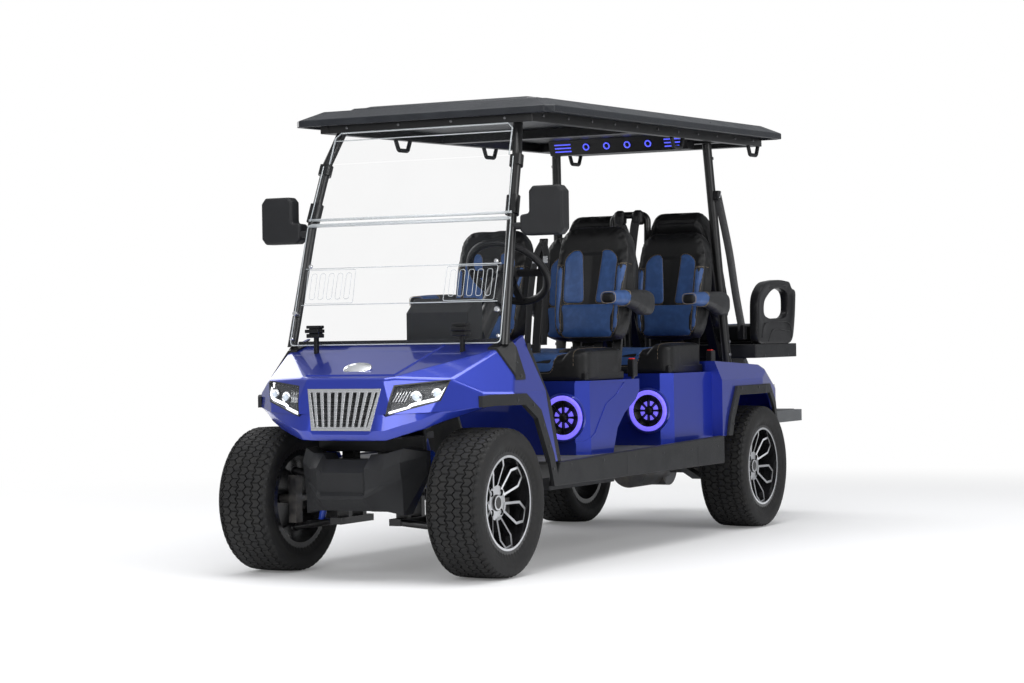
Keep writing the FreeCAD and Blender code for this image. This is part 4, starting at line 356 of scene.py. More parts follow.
def glow_finish(name, colour, strength):
    """A lit diffuser, with paler spots."""
    made = Finish(name, rough=0.35, glow_strength=strength)
    spots = made.noise(70, 2)
    pale = toned(colour, 1.25, 0.06)
    tone = made.mix(spots, colour, pale)
    made.set(colour=tone, glow=tone)
    return made.material


def mat_finish(name="floor_mat"):
    """Grey floor mat with its fine lengthwise ribs."""
    made = Finish(name, specular=0.35)
    x, _, _ = made.axes()
    ribs = made.sum("SINE", x * 780) * 0.5 + 0.5
    dirt = made.smooth(made.noise(11, 5), 0.4, 0.7)
    made.set(colour=made.mix(dirt, (0.085, 0.087, 0.09), (0.14, 0.138, 0.13)), rough=0.62 + dirt * 0.1)
    made.set(normal=made.bump(ribs + made.noise(800, 2) * 0.3, 0.35, 0.0012))
    return made.material


def webbing_finish(name="webbing"):
    """Woven belt webbing with its lengthwise cords."""
    made = Finish(name, specular=0.25, sheen=0.2)
    x, y, z = made.axes()
    threads = made.sum("SINE", (x + z) * 3600) * made.sum("SINE", (z - x + y) * 3600)
    made.set(colour=made.mix(threads * 0.5 + 0.5, (0.012, 0.012, 0.013), (0.030, 0.030, 0.032)), rough=0.72)
    made.set(normal=made.bump(threads, 0.4, 0.0006))
    return made.material


FINISHES = {}


def finish(name):
    """A finish by name, made on its first use."""
    chosen = looks()
    makers = {
        "paint": (paint_finish,),
        "shell": (shell_finish,),
        "steel": (steel_finish,),
        "cast": (cast_finish,),
        "spring": (spring_finish,),
        "rubber": (rubber_finish,),
        "mat": (mat_finish,),
        "webbing": (webbing_finish,),
        "mesh": (mesh_finish,),
        "trim": (plastic_finish, "trim", tuple(chosen.trim)),
        "smooth_trim": (plastic_finish, "smooth_trim", (0.008, 0.008, 0.009), 0.34, 1500, 0.15),
        "dark": (plastic_finish, "black_plastic", (0.008, 0.008, 0.009), 0.34, 1300, 0.12),
        "grip": (plastic_finish, "grip", (0.008, 0.008, 0.009), 0.45, 820, 0.4),
        "roof": (plastic_finish, "roof_skin", (0.017, 0.019, 0.023), 0.36, 900, 0.28),
        "battery": (plastic_finish, "battery_case", (0.045, 0.046, 0.05)),
        "thread": (plastic_finish, "thread", tuple(chosen.thread), 0.7, 2600, 0.5),
        "buckle_red": (plastic_finish, "buckle_red", (0.62, 0.02, 0.015), 0.4, 1800, 0.1),
        "screw": (plastic_finish, "screws", (0.030, 0.031, 0.033), 0.34, 1900, 0.1),
        "lamp_inside": (plastic_finish, "lamp_inside", (0.035, 0.036, 0.040), 0.25, 1500, 0.08),
        "display": (plastic_finish, "display", (0.004, 0.004, 0.006), 0.08, 300, 0.02),
        "step": (plastic_finish, "step_plate", (0.10, 0.105, 0.11), 0.5, 700, 0.4),
        "leather": (leather_finish, "leather", tuple(chosen.leather)),
        "inserts": (leather_finish, "inserts", tuple(chosen.inserts), True),
        "cap": (leather_finish, "arm_cap", (0.006, 0.006, 0.0065)),
        "grey_leather": (leather_finish, "grey_leather", (0.016, 0.0165, 0.018)),
        "chrome": (chrome_finish,),
        "bolt": (chrome_finish, "bolts", (0.20, 0.20, 0.21), 0.35),
        "mirror": (chrome_finish, "polished", (0.86, 0.87, 0.89), 0.07),
        "badge": (chrome_finish, "badge", (0.60, 0.61, 0.63), 0.30),
        "glass": (glass_finish,),
        "cover": (glass_finish, "lamp_cover", 0.05, (0.3, 0.32, 0.34)),
        # pale, nearly opaque strands: the painted highlight on the clear panes' edges, seams and vent
        # outlines
        "edge_highlight": (glass_finish, "pane_edge", 0.66, (0.72, 0.76, 0.78)),
        "ring_light": (glow_finish, "ring_light", tuple(chosen.glow), 0.9),
        "white_light": (glow_finish, "white_light", (0.9, 0.93, 0.98), 1.6),
        "lens": (glow_finish, "lens", (0.50, 0.56, 0.64), 0.18),
        "tail_red": (glow_finish, "tail_red", (0.50, 0.010, 0.012), 0.25),
        "bar_light": (glow_finish, "bar_light", (0.065, 0.08, 0.90), 1.0),
        "dial_light": (glow_finish, "dial_light", (0.55, 0.75, 0.95), 0.9),
    }
    if name not in FINISHES:
        maker, *values = makers[name]
        FINISHES[name] = maker(*values)
    return FINISHES[name]


def dress(node, material):
    """Gives a construction node its finish."""
    slots = NODES[node].data.materials
    slots.clear()
    slots.append(material)


# Meshes

def outward(mesh):
    """Turns the faces of a closed mesh outwards."""
    shape = bmesh.new()
    shape.from_mesh(mesh)
    if not any(edge.is_boundary for edge in shape.edges):
        bmesh.ops.recalc_face_normals(shape, faces=shape.faces)
        shape.to_mesh(mesh)
    shape.free()


def piece(name, points, faces, material, body="chassis", smooth=True):
    """A mesh piece that rides on a body."""
    mesh = bpy.data.meshes.new(name)
    mesh.from_pydata([tuple(p) for p in points], [], faces)
    mesh.validate()
    outward(mesh)
    if material is not None:
        mesh.materials.append(material)
    mesh.polygons.foreach_set("use_smooth", [smooth] * len(mesh.polygons))
    made = bpy.data.objects.new(name, mesh)
    bpy.context.scene.collection.objects.link(made)
    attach(made, body)
    return made


def ring_faces(rings, count, closed_ends=True, loop=False):
    """Faces between rings of equally many points."""
    faces = []
    spans = rings if loop else rings - 1
    for ring in range(spans):
        low, high = ring * count, ((ring + 1) % rings) * count
        for k in range(count):
            faces.append((low + k, low + (k + 1) % count, high + (k + 1) % count, high + k))
    if closed_ends and not loop:
        faces.append(tuple(reversed(range(count))))
        faces.append(tuple(range((rings - 1) * count, rings * count)))
    return faces


def angles(count):
    """Even angles round a circle."""
    return [2 * math.pi * k / count for k in range(count)]


def turn_to(axis):
    """The turn that brings the Z axis onto an axis."""
    return Vector(axis).normalized().to_track_quat("Z", "Y").to_matrix()


# How far a screw head sits in its surface
HEAD_SINK = 0.0005


class Batch:
    """Many small solids gathered into one mesh."""

    def __init__(self):
        self.points = []
        self.faces = []

    def add(self, points, faces):
        start = len(self.points)
        self.points += points
        self.faces += [tuple(start + k for k in face) for face in faces]

    def turned(self, place, axis, rows, sides=48, ring=False):
        """A form turned about an axis through (radius, height) rows; a ring where its section closes."""
        turn = turn_to(axis)
        points = [Vector(place) + turn @ Vector((radius * math.cos(a), radius * math.sin(a), height))
                  for radius, height in rows for a in angles(sides)]
        self.add(points, ring_faces(len(rows), sides, closed_ends=not ring, loop=ring))

    def head(self, place, axis, radius, depth, sides=12, dome=0.35):
        """A round or many-sided screw head on a surface."""
        rows = ((1.0, 0.0), (1.0, 1.0 - dome), (0.72, 1.0))
        self.turned(place, axis, [(radius * share, depth * lift) for share, lift in rows], sides)

    def heads(self, node, sign, spots, *form):
        """Screw heads where level lines from one side meet a node."""
        for y, z in spots:
            hit, normal = from_side(node, sign, y, z)
            self.head(hit - normal * HEAD_SINK, normal, *form)

    def strand(self, path, radius, sides=6, closed=False):
        """A thin rod through points, its section carried along without a twist."""
        count = len(path)
        side = None
        points = []
        for k, point in enumerate(path):
            if closed:
                ahead = path[(k + 1) % count] - path[k - 1]
            else:
                ahead = path[min(k + 1, count - 1)] - path[max(k - 1, 0)]
            ahead = ahead.normalized()
            if side is None:
                side = ahead.orthogonal()
            side = (side - ahead * side.dot(ahead)).normalized()
            other = ahead.cross(side)
            points += [point + side * radius * math.cos(a) + other * radius * math.sin(a)
                       for a in angles(sides)]
        self.add(points, ring_faces(count, sides, closed_ends=not closed, loop=closed))

    def ribbon(self, path, across, width, thick):
        """A flat strap through points, its width along a given direction."""
        points = []
        for k, point in enumerate(path):
            ahead = (path[min(k + 1, len(path) - 1)] - path[max(k - 1, 0)]).normalized()
            across = Vector(across)
            wide = (across - ahead * across.dot(ahead)).normalized() * width / 2
            deep = ahead.cross(wide).normalized() * thick / 2
            points += [point + wide + deep, point + wide - deep, point - wide - deep, point - wide + deep]
        self.add(points, ring_faces(len(path), 4))

    def loops(self, rings, loop=False):
        """A skin over rings of equally many points."""
        self.add([p for ring in rings for p in ring], ring_faces(len(rings), len(rings[0]), loop=loop))

    def grid(self, rows):
        """An open skin over rows of equally many points."""
        wide = len(rows[0])
        self.add([p for row in rows for p in row],
                 [(j * wide + k, j * wide + k + 1, (j + 1) * wide + k + 1, (j + 1) * wide + k)
                  for j in range(len(rows) - 1) for k in range(wide - 1)])

    def block(self, low, high):
        """A box between two corners."""
        self.add([Vector((x, y, z)) for z in (low[2], high[2]) for x, y in
                  ((low[0], low[1]), (high[0], low[1]), (high[0], high[1]), (low[0], high[1]))],
                 ring_faces(2, 4))

    def made(self, name, look, slot=None, body="chassis", smooth=True):
        """The batch as one piece with a finish."""
        return piece(name, self.points, self.faces, finish(look), body, smooth)

    def blocks(self, name, look, slot, width, segments, body="chassis"):
        """The batch as one flat-faced piece with rounded edges."""
        return soften(self.made(name, look, slot, body, smooth=False), width, segments)


def soften(made, width, segments=2):
    """Rounds the sharp edges of a piece that has them."""
    bevel = made.modifiers.new("edges", "BEVEL")
    bevel.width = width
    bevel.segments = segments
    bevel.limit_method = "ANGLE"
    bevel.angle_limit = math.radians(40)
    return made


def sharpened(made, degrees):
    """Keeps the edges sharp where faces meet at more than an angle."""
    made.data.set_sharp_from_angle(angle=math.radians(degrees))
    return made


# Places on the construction

TREES = {}


def land(node, spot, toward):
    """Where a straight line from a spot meets a construction node, and how the surface there faces."""
    if node not in TREES:
        TREES[node] = BVHTree.FromObject(NODES[node], bpy.context.evaluated_depsgraph_get())
    hit, normal, _, _ = TREES[node].ray_cast(Vector(spot), Vector(toward).normalized())
    if hit is None:
        raise RuntimeError("no surface of %s from %s" % (node, tuple(spot)))
    if normal.dot(Vector(toward)) > 0:
        normal = -normal
    return hit, normal


def smooth_line(points, steps=8):
    """A smooth open line through points."""
    points = [Vector(p) for p in points]
    points = [points[0] * 2 - points[1], *points, points[-1] * 2 - points[-2]]
    made = []
    for a, b, c, d in zip(points, points[1:], points[2:], points[3:]):
        for j in range(steps):
            t = j / steps
            made.append(0.5 * (2 * b + (c - a) * t + (2 * a - 5 * b + 4 * c - d) * t ** 2
                               + (3 * b - a - 3 * c + d) * t ** 3))
    made.append(points[-2])
    return made


def from_side(node, sign, y, z):
    """Where a level line from one side of the cart meets a node."""
    return land(node, (sign * 1.0, y, z), (-sign, 0, 0))


def from_front(node, x, z, start=-2.2):
    """Where a level line from ahead of the cart meets a node."""
    return land(node, (x, start, z), (0, 1, 0))


def from_above(node, x, y, start=2.2):
    """Where a plumb line meets a node."""
    return land(node, (x, y, start), (0, 0, -1))


def circle(place, axis, radius, count=40):
    """Points of a circle."""
    turn = turn_to(axis)
    return [Vector(place) + turn @ Vector((radius * math.cos(a), radius * math.sin(a), 0))
            for a in angles(count)]


def between(pairs, at):
    """A value read from (place, value) pairs by straight lines."""
    for (a, low), (b, high) in zip(pairs, pairs[1:]):
        if at <= b:
            return low + (high - low) * max(0.0, (at - a) / (b - a))
    return pairs[-1][1]


def by_angle(outline, centre, count):
    """An outline's points at even angles about a centre that sees all of it."""
    made = []
    for angle in angles(count):
        way = (math.cos(angle), math.sin(angle))
        best = 0.0
        for (ax, ay), (bx, by) in zip(outline, outline[1:] + outline[:1]):
            ex, ey = bx - ax, by - ay
            cross = way[0] * ey - way[1] * ex
            if abs(cross) < 1e-12:
                continue
            far = ((ax - centre[0]) * ey - (ay - centre[1]) * ex) / cross
            share = ((ax - centre[0]) * way[1] - (ay - centre[1]) * way[0]) / cross
            if far > 0 and -1e-9 <= share <= 1 + 1e-9:
                best = max(best, far)
        made.append((centre[0] + way[0] * best, centre[1] + way[1] * best))
    return made


# Tyres

TREAD_ROWS = (-0.40, -0.24, -0.08, 0.08, 0.24, 0.40)
ZIGZAG_COUNT = 56
ZIGZAG_STEPS = 8
# How far the zigzag swings sideways, the bead's share of the radius, the cuts' share of the tread's depth
ZIGZAG_REACH = 0.0065
BEAD_SHARE = 0.668
CUT_SHARE = 0.6


def tyre_outline(radius, width, bead):
    """Half of the tyre's section, as (across, radius) from the tread's middle to the bead."""
    half = width / 2
    wall = radius - bead
    shoulder = [(half * s, radius - wall * d) for s, d in
                ((0.86, 0.045), (0.91, 0.085), (0.95, 0.15), (0.985, 0.26), (1.0, 0.40), (0.995, 0.52),
                 (0.98, 0.62), (0.955, 0.70), (0.945, 0.715), (0.925, 0.80), (0.88, 0.90), (0.85, 0.97))]
    return shoulder + [(half * 0.80, bead), (half * 0.70, bead)]


def tread_outline(half, radius, depth):
    """Tread between the shoulders: (across, radius, how far the line zigzags), grooves cut square."""
    groove = 0.0032
    crown = 0.0045
    lines = [(-half * 0.84, radius - crown * 1.6, 0.0, 0)]
    for rib, share in enumerate(TREAD_ROWS):
        x = share * 2 * half * 0.92
        drop = crown * (x / half) ** 2
        for across, fall, at in ((-groove, 0, rib), (-groove * 0.6, depth, -1), (groove * 0.6, depth, -1),
                                 (groove, 0, rib + 1)):
            lines.append((x + across, radius - drop - fall, 1.0, at))
    lines.append((half * 0.84, radius - crown * 1.6, 0.0, len(TREAD_ROWS)))
    return lines


def make_tyre(name, node, body):
    """A road tyre with zigzag ribs and blocks cut along its shoulders."""
    low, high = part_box(node)
    centre = (low + high) / 2
    radius = (high.z - low.z) / 2
    width = high.x - low.x
    depth = looks().tread_depth
    walls = tyre_outline(radius, width, radius * BEAD_SHARE)
    section = [(-x, r, 0.0, -1) for x, r in reversed(walls)] + tread_outline(width / 2, radius, depth)
    section += [(x, r, 0.0, -1) for x, r in walls]
    steps = ZIGZAG_COUNT * ZIGZAG_STEPS
    points = []
    for k, angle in enumerate(angles(steps)):
        phase = (k % ZIGZAG_STEPS) / ZIGZAG_STEPS
        zig = abs(phase * 2 - 1) * 2 - 1
        for x, r, bends, rib in section:
            cut = depth * CUT_SHARE if rib >= 0 and (k + 4 * (rib % 2)) % ZIGZAG_STEPS == 0 else 0.0
            if phase < 0.26 and 0.80 < abs(x) / (width / 2) < 0.925:
                cut = depth * CUT_SHARE
            points.append(centre + Vector((x + zig * ZIGZAG_REACH * bends, (r - cut) * math.sin(angle),
                                           (r - cut) * math.cos(angle))))
    made = piece(name, points, ring_faces(steps, len(section), loop=True), finish("rubber"), body)
    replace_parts(sharpened(made, 35), node)


# Upholstery

BACK_OUTLINE = ((0.74, 0.0), (0.90, 0.10), (0.98, 0.30), (1.0, 0.55), (0.98, 0.76), (0.89, 0.91), (0.66, 1.0))
# Inserts of the backs as shares of half width and height, each with the radius of its corners
BACK_INSERTS = (
    (((0.15, 0.315), (0.66, 0.315), (0.69, 0.71), (0.50, 0.775), (0.27, 0.775)), 0.022),
    (((-0.66, 0.022), (0.66, 0.022), (0.69, 0.300), (-0.69, 0.300)), 0.016),
    (((0.695, 0.035), (0.80, 0.10), (0.92, 0.655), (0.725, 0.63)), 0.012),
)
CUSHION_INSERT = ((-0.66, -0.98), (0.30, -0.98), (0.34, -0.30), (0.38, 0.20), (0.38, 0.90), (-0.66, 0.90))


def soft_form(name, points, faces, voxel, cap, pressure=4.0):
    """A stuffed form: the mesh is remeshed evenly, then blown up a little as cloth, within a cap."""
    made = piece(name, points, faces, None)
    made.parent = None
    remesh = made.modifiers.new("even", "REMESH")
    remesh.mode = "VOXEL"
    remesh.voxel_size = voxel
    apply_modifiers(made)
    swell(made, pressure, cap)
    made.data.polygons.foreach_set("use_smooth", [True] * len(made.data.polygons))
    return made


def apply_modifiers(made):
    """Bakes a piece's modifiers into its mesh."""
    graph = bpy.context.evaluated_depsgraph_get()
    mesh = bpy.data.meshes.new_from_object(made.evaluated_get(graph))
    made.modifiers.clear()
    made.data = mesh


def swell(made, pressure, cap):
    """Cloth under pressure for twenty frames; no point moves further than the cap."""
    rest = [v.co.copy() for v in made.data.vertices]
    cloth = made.modifiers.new("stuffing", "CLOTH")
    cloth.settings.use_pressure = True
    cloth.settings.uniform_pressure_force = pressure
    cloth.settings.effector_weights.gravity = 0
    cloth.settings.tension_stiffness = 25
    cloth.settings.compression_stiffness = 25
    cloth.settings.quality = 5
    cloth.point_cache.frame_end = 20
    scene = bpy.context.scene
    for moment in range(1, 21):
        scene.frame_set(moment)
    apply_modifiers(made)
    scene.frame_set(1)
    for vertex, start in zip(made.data.vertices, rest):
        moved = vertex.co - start
        if moved.length > cap:
            vertex.co = start + moved * (cap / moved.length)


def extruded(outline, low, high, axis):
    """Points and faces of an outline between two depths along y or z."""
    points = []
    for depth in (low, high):
        for a, b in outline:
            points.append((a, depth, b) if axis == "y" else (a, b, depth))
    return points, ring_faces(2, len(outline))


def rounded(corners, radius, steps=5):
    """A closed outline with its corners rounded by short arcs."""
    made = []
    count = len(corners)
    for k in range(count):
        here = Vector(corners[k])
        before = (Vector(corners[k - 1]) - here)
        after = (Vector(corners[(k + 1) % count]) - here)
        reach = min(radius, before.length * 0.45, after.length * 0.45)
        start, end = here + before.normalized() * reach, here + after.normalized() * reach
        for j in range(steps + 1):
            t = j / steps
            made.append(tuple(start * (1 - t) ** 2 + here * 2 * t * (1 - t) + end * t ** 2))
    return made


def reshape(made, move):
    """Moves each vertex of a form by a function of its place."""
    for vertex in made.data.vertices:
        vertex.co += Vector(move(vertex.co))
    made.data.update()


def copy_form(form, name, place, look="leather", body="chassis", mirror=False):
    """One seat piece from a form: a copy, mirrored if asked, put in its place."""
    mesh = form.data.copy()
    if mirror:
        mesh.transform(Matrix.Scale(-1, 4, (1, 0, 0)))
        mesh.flip_normals()
    mesh.transform(place)
    mesh.materials.clear()
    mesh.materials.append(finish(look))
    made = bpy.data.objects.new(name, mesh)
    bpy.context.scene.collection.objects.link(made)
    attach(made, body)
    return made


def drop_onto(tree, spot, toward, reach=0.4):
    """Where a ray through a spot meets a form."""
    return tree.ray_cast(spot - toward * reach, toward, reach * 2)[0]


def middle_of(outline):
    """The mean place of an outline's points."""
    return sum((Vector(p) for p in outline), Vector((0, 0))) / len(outline)


def panel(tree, outline, toward, frame_of, lift, rim=0.010):
    """A raised insert laid on a form: rings from its sewn edge to its crowned middle."""
    centre = middle_of(outline)
    size = min(max(abs(p[0] - centre[0]) for p in outline), max(abs(p[1] - centre[1]) for p in outline))
    edge = rim / size
    rows = [(1.0, -0.003), (1.0 - edge * 0.10, 0.0006), (1.0 - edge * 0.35, lift * 0.55),
            (1.0 - edge * 0.8, lift * 0.85)]
    for share in (0.86, 0.72, 0.58, 0.44, 0.30, 0.16, 0.05):
        if share < rows[-1][0] - 0.02:
            rows.append((share, lift * (1.0 + 0.25 * (1 - share))))
    points = []
    for share, height in rows:
        for p in outline:
            spot = frame_of(centre + (Vector(p) - centre) * share)
            points.append((drop_onto(tree, spot, toward) or spot) - toward * height)
    faces = ring_faces(len(rows), len(outline), closed_ends=False)
    faces.append(tuple((len(rows) - 1) * len(outline) + k for k in range(len(outline))))
    return points, faces


def stitches(batch, tree, outline, toward, frame_of, inset=1.012, closed=True):
    """Stitches along an outline, laid on the form beneath."""
    centre = middle_of(outline)
    line = [centre + (Vector(p) - centre) * inset for p in outline]
    if closed:
        line.append(line[0])
    length = looks().stitch_length
    walked = 0.0
    start = None
    for first, second in zip(line, line[1:]):
        span = (second - first).length
        steps = max(1, int(span / (length * 0.5)))
        for k in range(steps):
            walked += span / steps
            hit = drop_onto(tree, frame_of(first.lerp(second, k / steps)), toward)
            if hit is None:
                start = None
                continue
            hit = hit - toward * 0.0006
            if start is None:
                start = (hit, walked)
            elif walked - start[1] >= length:
                batch.strand([start[0], hit], 0.0007, 4)
                start = None


def upright(flat):
    """A flat place on a form that stands."""
    return Vector((flat[0], 0, flat[1]))


def level(flat):
    """A flat place on a form that lies."""
    return Vector((flat[0], flat[1], 0))


def mirrored(shape):
    """An outline's mirror image, still in the same sense."""
    return [(-x, z) for x, z in reversed(shape)]


class Cover:
    """The inserts and stitching of one soft form, found by rays onto it."""

    def __init__(self, form, toward, frame_of):
        self.tree = BVHTree.FromObject(form, bpy.context.evaluated_depsgraph_get())
        self.toward = toward
        self.frame_of = frame_of
        self.inserts = Batch()
        self.thread = Batch()

    def insert(self, shape, lift):
        self.inserts.add(*panel(self.tree, shape, self.toward, self.frame_of, lift))
        stitches(self.thread, self.tree, shape, self.toward, self.frame_of)

    def seam(self, line):
        stitches(self.thread, self.tree, line, self.toward, self.frame_of, 1.0, False)

    def put(self, name, place, word="inserts", body="chassis", flip=False):
        """Both, at the place of one copy of the form."""
        for part, batch, look in ((word, self.inserts, "inserts"), ("stitching", self.thread, "thread")):
            extra = batch.made("%s_%s" % (name, part), look, "upholstery", body)
            extra.data.transform(place)
            if flip:
                extra.data.flip_normals()


def back_shape(half, height):
    """What the stuffed seat back gets from its foam: side bolsters, lumbar swell and head roll."""
    def move(p):
        front = max(0.0, min(1.0, -p.y / 0.03))
        side = min(1.0, abs(p.x) / half)
        up = p.z / height
        bolster = 0.020 * math.exp(-((side - 0.80) / 0.13) ** 2)
        bolster *= 1 if up < 0.62 else max(0.0, 1 - (up - 0.62) / 0.16)
        hollow = 0.012 * max(0.0, 1 - side / 0.62) * (1 if up < 0.74 else 0)
        lumbar = 0.010 * math.exp(-((up - 0.20) / 0.13) ** 2) * max(0.0, 1 - side ** 2)
        head = 0.010 * math.exp(-((up - 0.88) / 0.09) ** 2) * (1 - side ** 2 * 0.6)
        return (0, -front * (bolster - hollow + lumbar + head) * 0.9, 0)
    return move


def make_seat_backs():
    """Four leather seat backs with blue inserts and stitched seams."""
    half, height, thick = 0.179, 0.497, 0.088
    outline = [(half * a, height * b) for a, b in BACK_OUTLINE]
    outline = rounded(outline + mirrored(outline), 0.05, 3)
    points, faces = extruded(outline, -thick / 2, thick / 2, "y")
    form = soft_form("seat_back_form", points, faces, 0.0065, 0.010, 3.0)
    reshape(form, back_shape(half, height))
    cover = Cover(form, Vector((0, 1, 0)), upright)
    lobe, lumbar, strip = (rounded([(half * a, height * b) for a, b in shape], by)
                           for shape, by in BACK_INSERTS)
    for shape, lift in ((lobe, 0.004), (mirrored(lobe), 0.004), (lumbar, 0.004), (strip, 0.003),
                        (mirrored(strip), 0.003)):
        cover.insert(shape, lift)
    for sign in (1, -1):
        cover.seam([(sign * half * 0.95, height * 0.66), (sign * half * 0.70, height * 0.645)])
    lean = math.radians(11)
    for row in ROWS:
        node = "seat_backs_" + row
        low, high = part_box(node)
        mid_y = low.y + 0.112 / 2 * math.cos(lean) + 0.001
        for side, sign in SIDES:
            place = Matrix.Translation((sign * 0.245, mid_y, low.z + 0.010)) @ Matrix.Rotation(-lean, 4, "X")
            name = "seat_back_%s_%s" % (row, side)
            made = copy_form(form, name, place)
            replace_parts(made, node)
            cover.put(name, place)
    make_rear_backs(form, cover)
    bpy.data.objects.remove(form)


def make_cushions():
    """Four seat cushions: raised outer bolster, blue middle panel, soft front edge."""
    wide, long, tall = 0.220, 0.194, 0.050
    outline = rounded([(-wide, -long), (wide, -long), (wide * 0.97, long), (-wide * 0.97, long)], 0.05, 5)
    points, faces = extruded(outline, -tall, tall, "z")
    form = soft_form("cushion_form", points, faces, 0.0075, 0.010)

    def move(p):
        top = max(0.0, min(1.0, p.z / 0.03))
        edge = wide * (0.50 + 0.06 * math.sin(p.y / long * 2.2))
        outer = max(0.0, min(1.0, (p.x - edge) / 0.034))
        outer = outer * outer * (3 - 2 * outer)
        fold = math.exp(-((p.x - edge) / 0.009) ** 2) * 0.006
        inner = math.exp(-((p.x + wide * 0.84) / 0.04) ** 2) * 0.4
        dish = math.exp(-((p.x + wide * 0.15) / 0.11) ** 2) * 0.009
        front = max(0.0, -p.y / long) ** 3 * 0.012
        return (0, 0, top * (0.019 * outer + 0.012 * inner - dish - front - fold))

    reshape(form, move)
    cover = Cover(form, Vector((0, 0.35, -1)).normalized(), level)
    cover.insert(rounded([(wide * a, long * b) for a, b in CUSHION_INSERT], 0.03), 0.004)
    cover.seam([(wide * 0.70, -long * 0.95), (wide * 0.70, long * 0.9)])
    inset = 0.012
    for row in ROWS:
        node = "cushions_" + row
        low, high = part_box(node)
        mid_y = (low.y + high.y) / 2
        for side, sign in SIDES:
            place = Matrix.Translation((sign * 0.2385, mid_y, high.z - tall - 0.022))
            name = "cushion_%s_%s" % (row, side)
            made = copy_form(form, name, place, mirror=sign < 0)
            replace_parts(made, node)
            if sign < 0:
                place = place @ Matrix.Scale(-1, 4, (1, 0, 0))
            cover.put(name, place, "insert", flip=sign < 0)
            base = Batch()
            base.block((-wide + inset, -long + inset, 0), (wide - inset, long - inset, 0.034))
            skirt = base.blocks(name + "_base", "smooth_trim", "upholstery", 0.006, 3)
            skirt.data.transform(Matrix.Translation((sign * 0.2385, mid_y, low.z)))
    bpy.data.objects.remove(form)


# Rear seat, armrests

def make_rear_backs(form, cover):
    """The two rear-facing backs, from the forward seats' form: narrower and taller."""
    outline = rounded([(-0.150, 0.05), (0.150, 0.05), (0.166, 0.30), (0.140, 0.475), (-0.140, 0.475),
                       (-0.166, 0.30)], 0.06, 6)
    for side, sign in SIDES:
        place = Matrix.Translation((sign * 0.214, 1.0695, 0.928)) @ Matrix.Rotation(math.pi, 4, "Z")
        place = place @ Matrix.Rotation(-math.radians(25), 4, "X") @ Matrix.Diagonal((0.90, 1.0, 1.17, 1.0))
        name = "rear_back_" + side
        made = copy_form(form, name, place)
        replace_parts(made, "rear_backs")
        cover.put(name, place)
        shell, studs = Batch(), Batch()
        shell.loops([[Vector((x * grow, back, 0.26 + (z - 0.26) * grow)) for x, z in outline]
                     for grow, back in ((0.97, 0.030), (1.0, 0.040), (0.99, 0.048), (0.93, 0.052))])
        shell.made(name + "_shell", "smooth_trim", "dark_trim").data.transform(place)
        for x, z in ((-0.11, 0.43), (0.11, 0.43), (-0.11, 0.14), (0.11, 0.14)):
            studs.head((x, 0.051, z), (0, 1, 0), 0.007, 0.003)
        studs.made(name + "_screws", "steel").data.transform(place)


def make_rear_cushion():
    """The rear bench cushion with two blue panels, over the board that becomes the load deck."""
    node = "rear_cushion"
    low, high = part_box(node)
    middle = (low + high) / 2
    wide, long, tall = 0.406, 0.190, 0.040
    outline = rounded([(-wide, -long), (wide, -long), (wide, long), (-wide, long)], 0.05, 5)
    points, faces = extruded(outline, -tall, tall, "z")
    form = soft_form("rear_cushion_form", points, faces, 0.0085, 0.007)

    def move(p):
        top = max(0.0, min(1.0, p.z / 0.025))
        seam = math.exp(-(p.x / 0.018) ** 2) * 0.012
        seats = math.exp(-((abs(p.x) - wide / 2) / 0.12) ** 2) * 0.006
        return (0, 0, -top * (seam + seats))

    reshape(form, move)
    cover = Cover(form, Vector((0, 0, -1)), level)
    for sign in (1, -1):
        cover.insert(rounded([(sign * wide / 2 + x, y) for x, y in
                              ((-0.12, -0.15), (0.12, -0.15), (0.13, 0.15), (-0.13, 0.15))], 0.03), 0.003)
    for x in (0.022, -0.022):
        cover.seam([(x, -0.17), (x, 0.17)])
    place = Matrix.Translation((middle.x, middle.y, high.z - tall - 0.005))
    made = copy_form(form, "rear_bench_cushion", place, body=node)
    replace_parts(made, node)
    cover.put("rear_bench", place, body=node)
    board = Batch()
    board.block((low.x + 0.012, low.y + 0.012, low.z), (high.x - 0.012, high.y - 0.012, low.z + 0.012))
    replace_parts(board.blocks("rear_bench_deck", "dark", "dark_trim", 0.004, 3, body=node), node)
    bpy.data.objects.remove(form)


ARM_TOP = ((0.0, 0.88), (0.10, 0.93), (0.55, 0.97), (0.85, 1.0), (1.0, 0.90))
ARM_LOW = ((0.0, 0.50), (0.12, 0.44), (0.38, 0.40), (0.62, 0.24), (0.78, 0.04), (0.95, 0.04), (1.0, 0.14))
ARM_TIP, ARM_BLUE = 0.022, 0.40


def boxy(value):
    """A sine or cosine pushed outwards, which makes a round section a rounded box."""
    return math.copysign(abs(value) ** 0.62, value)


def arm_middle(t, tall):
    """Middle height and half height of the armrest at a share of its length."""
    top, bottom = between(ARM_TOP, t) * tall, between(ARM_LOW, t) * tall
    return (top + bottom) / 2, (top - bottom) / 2


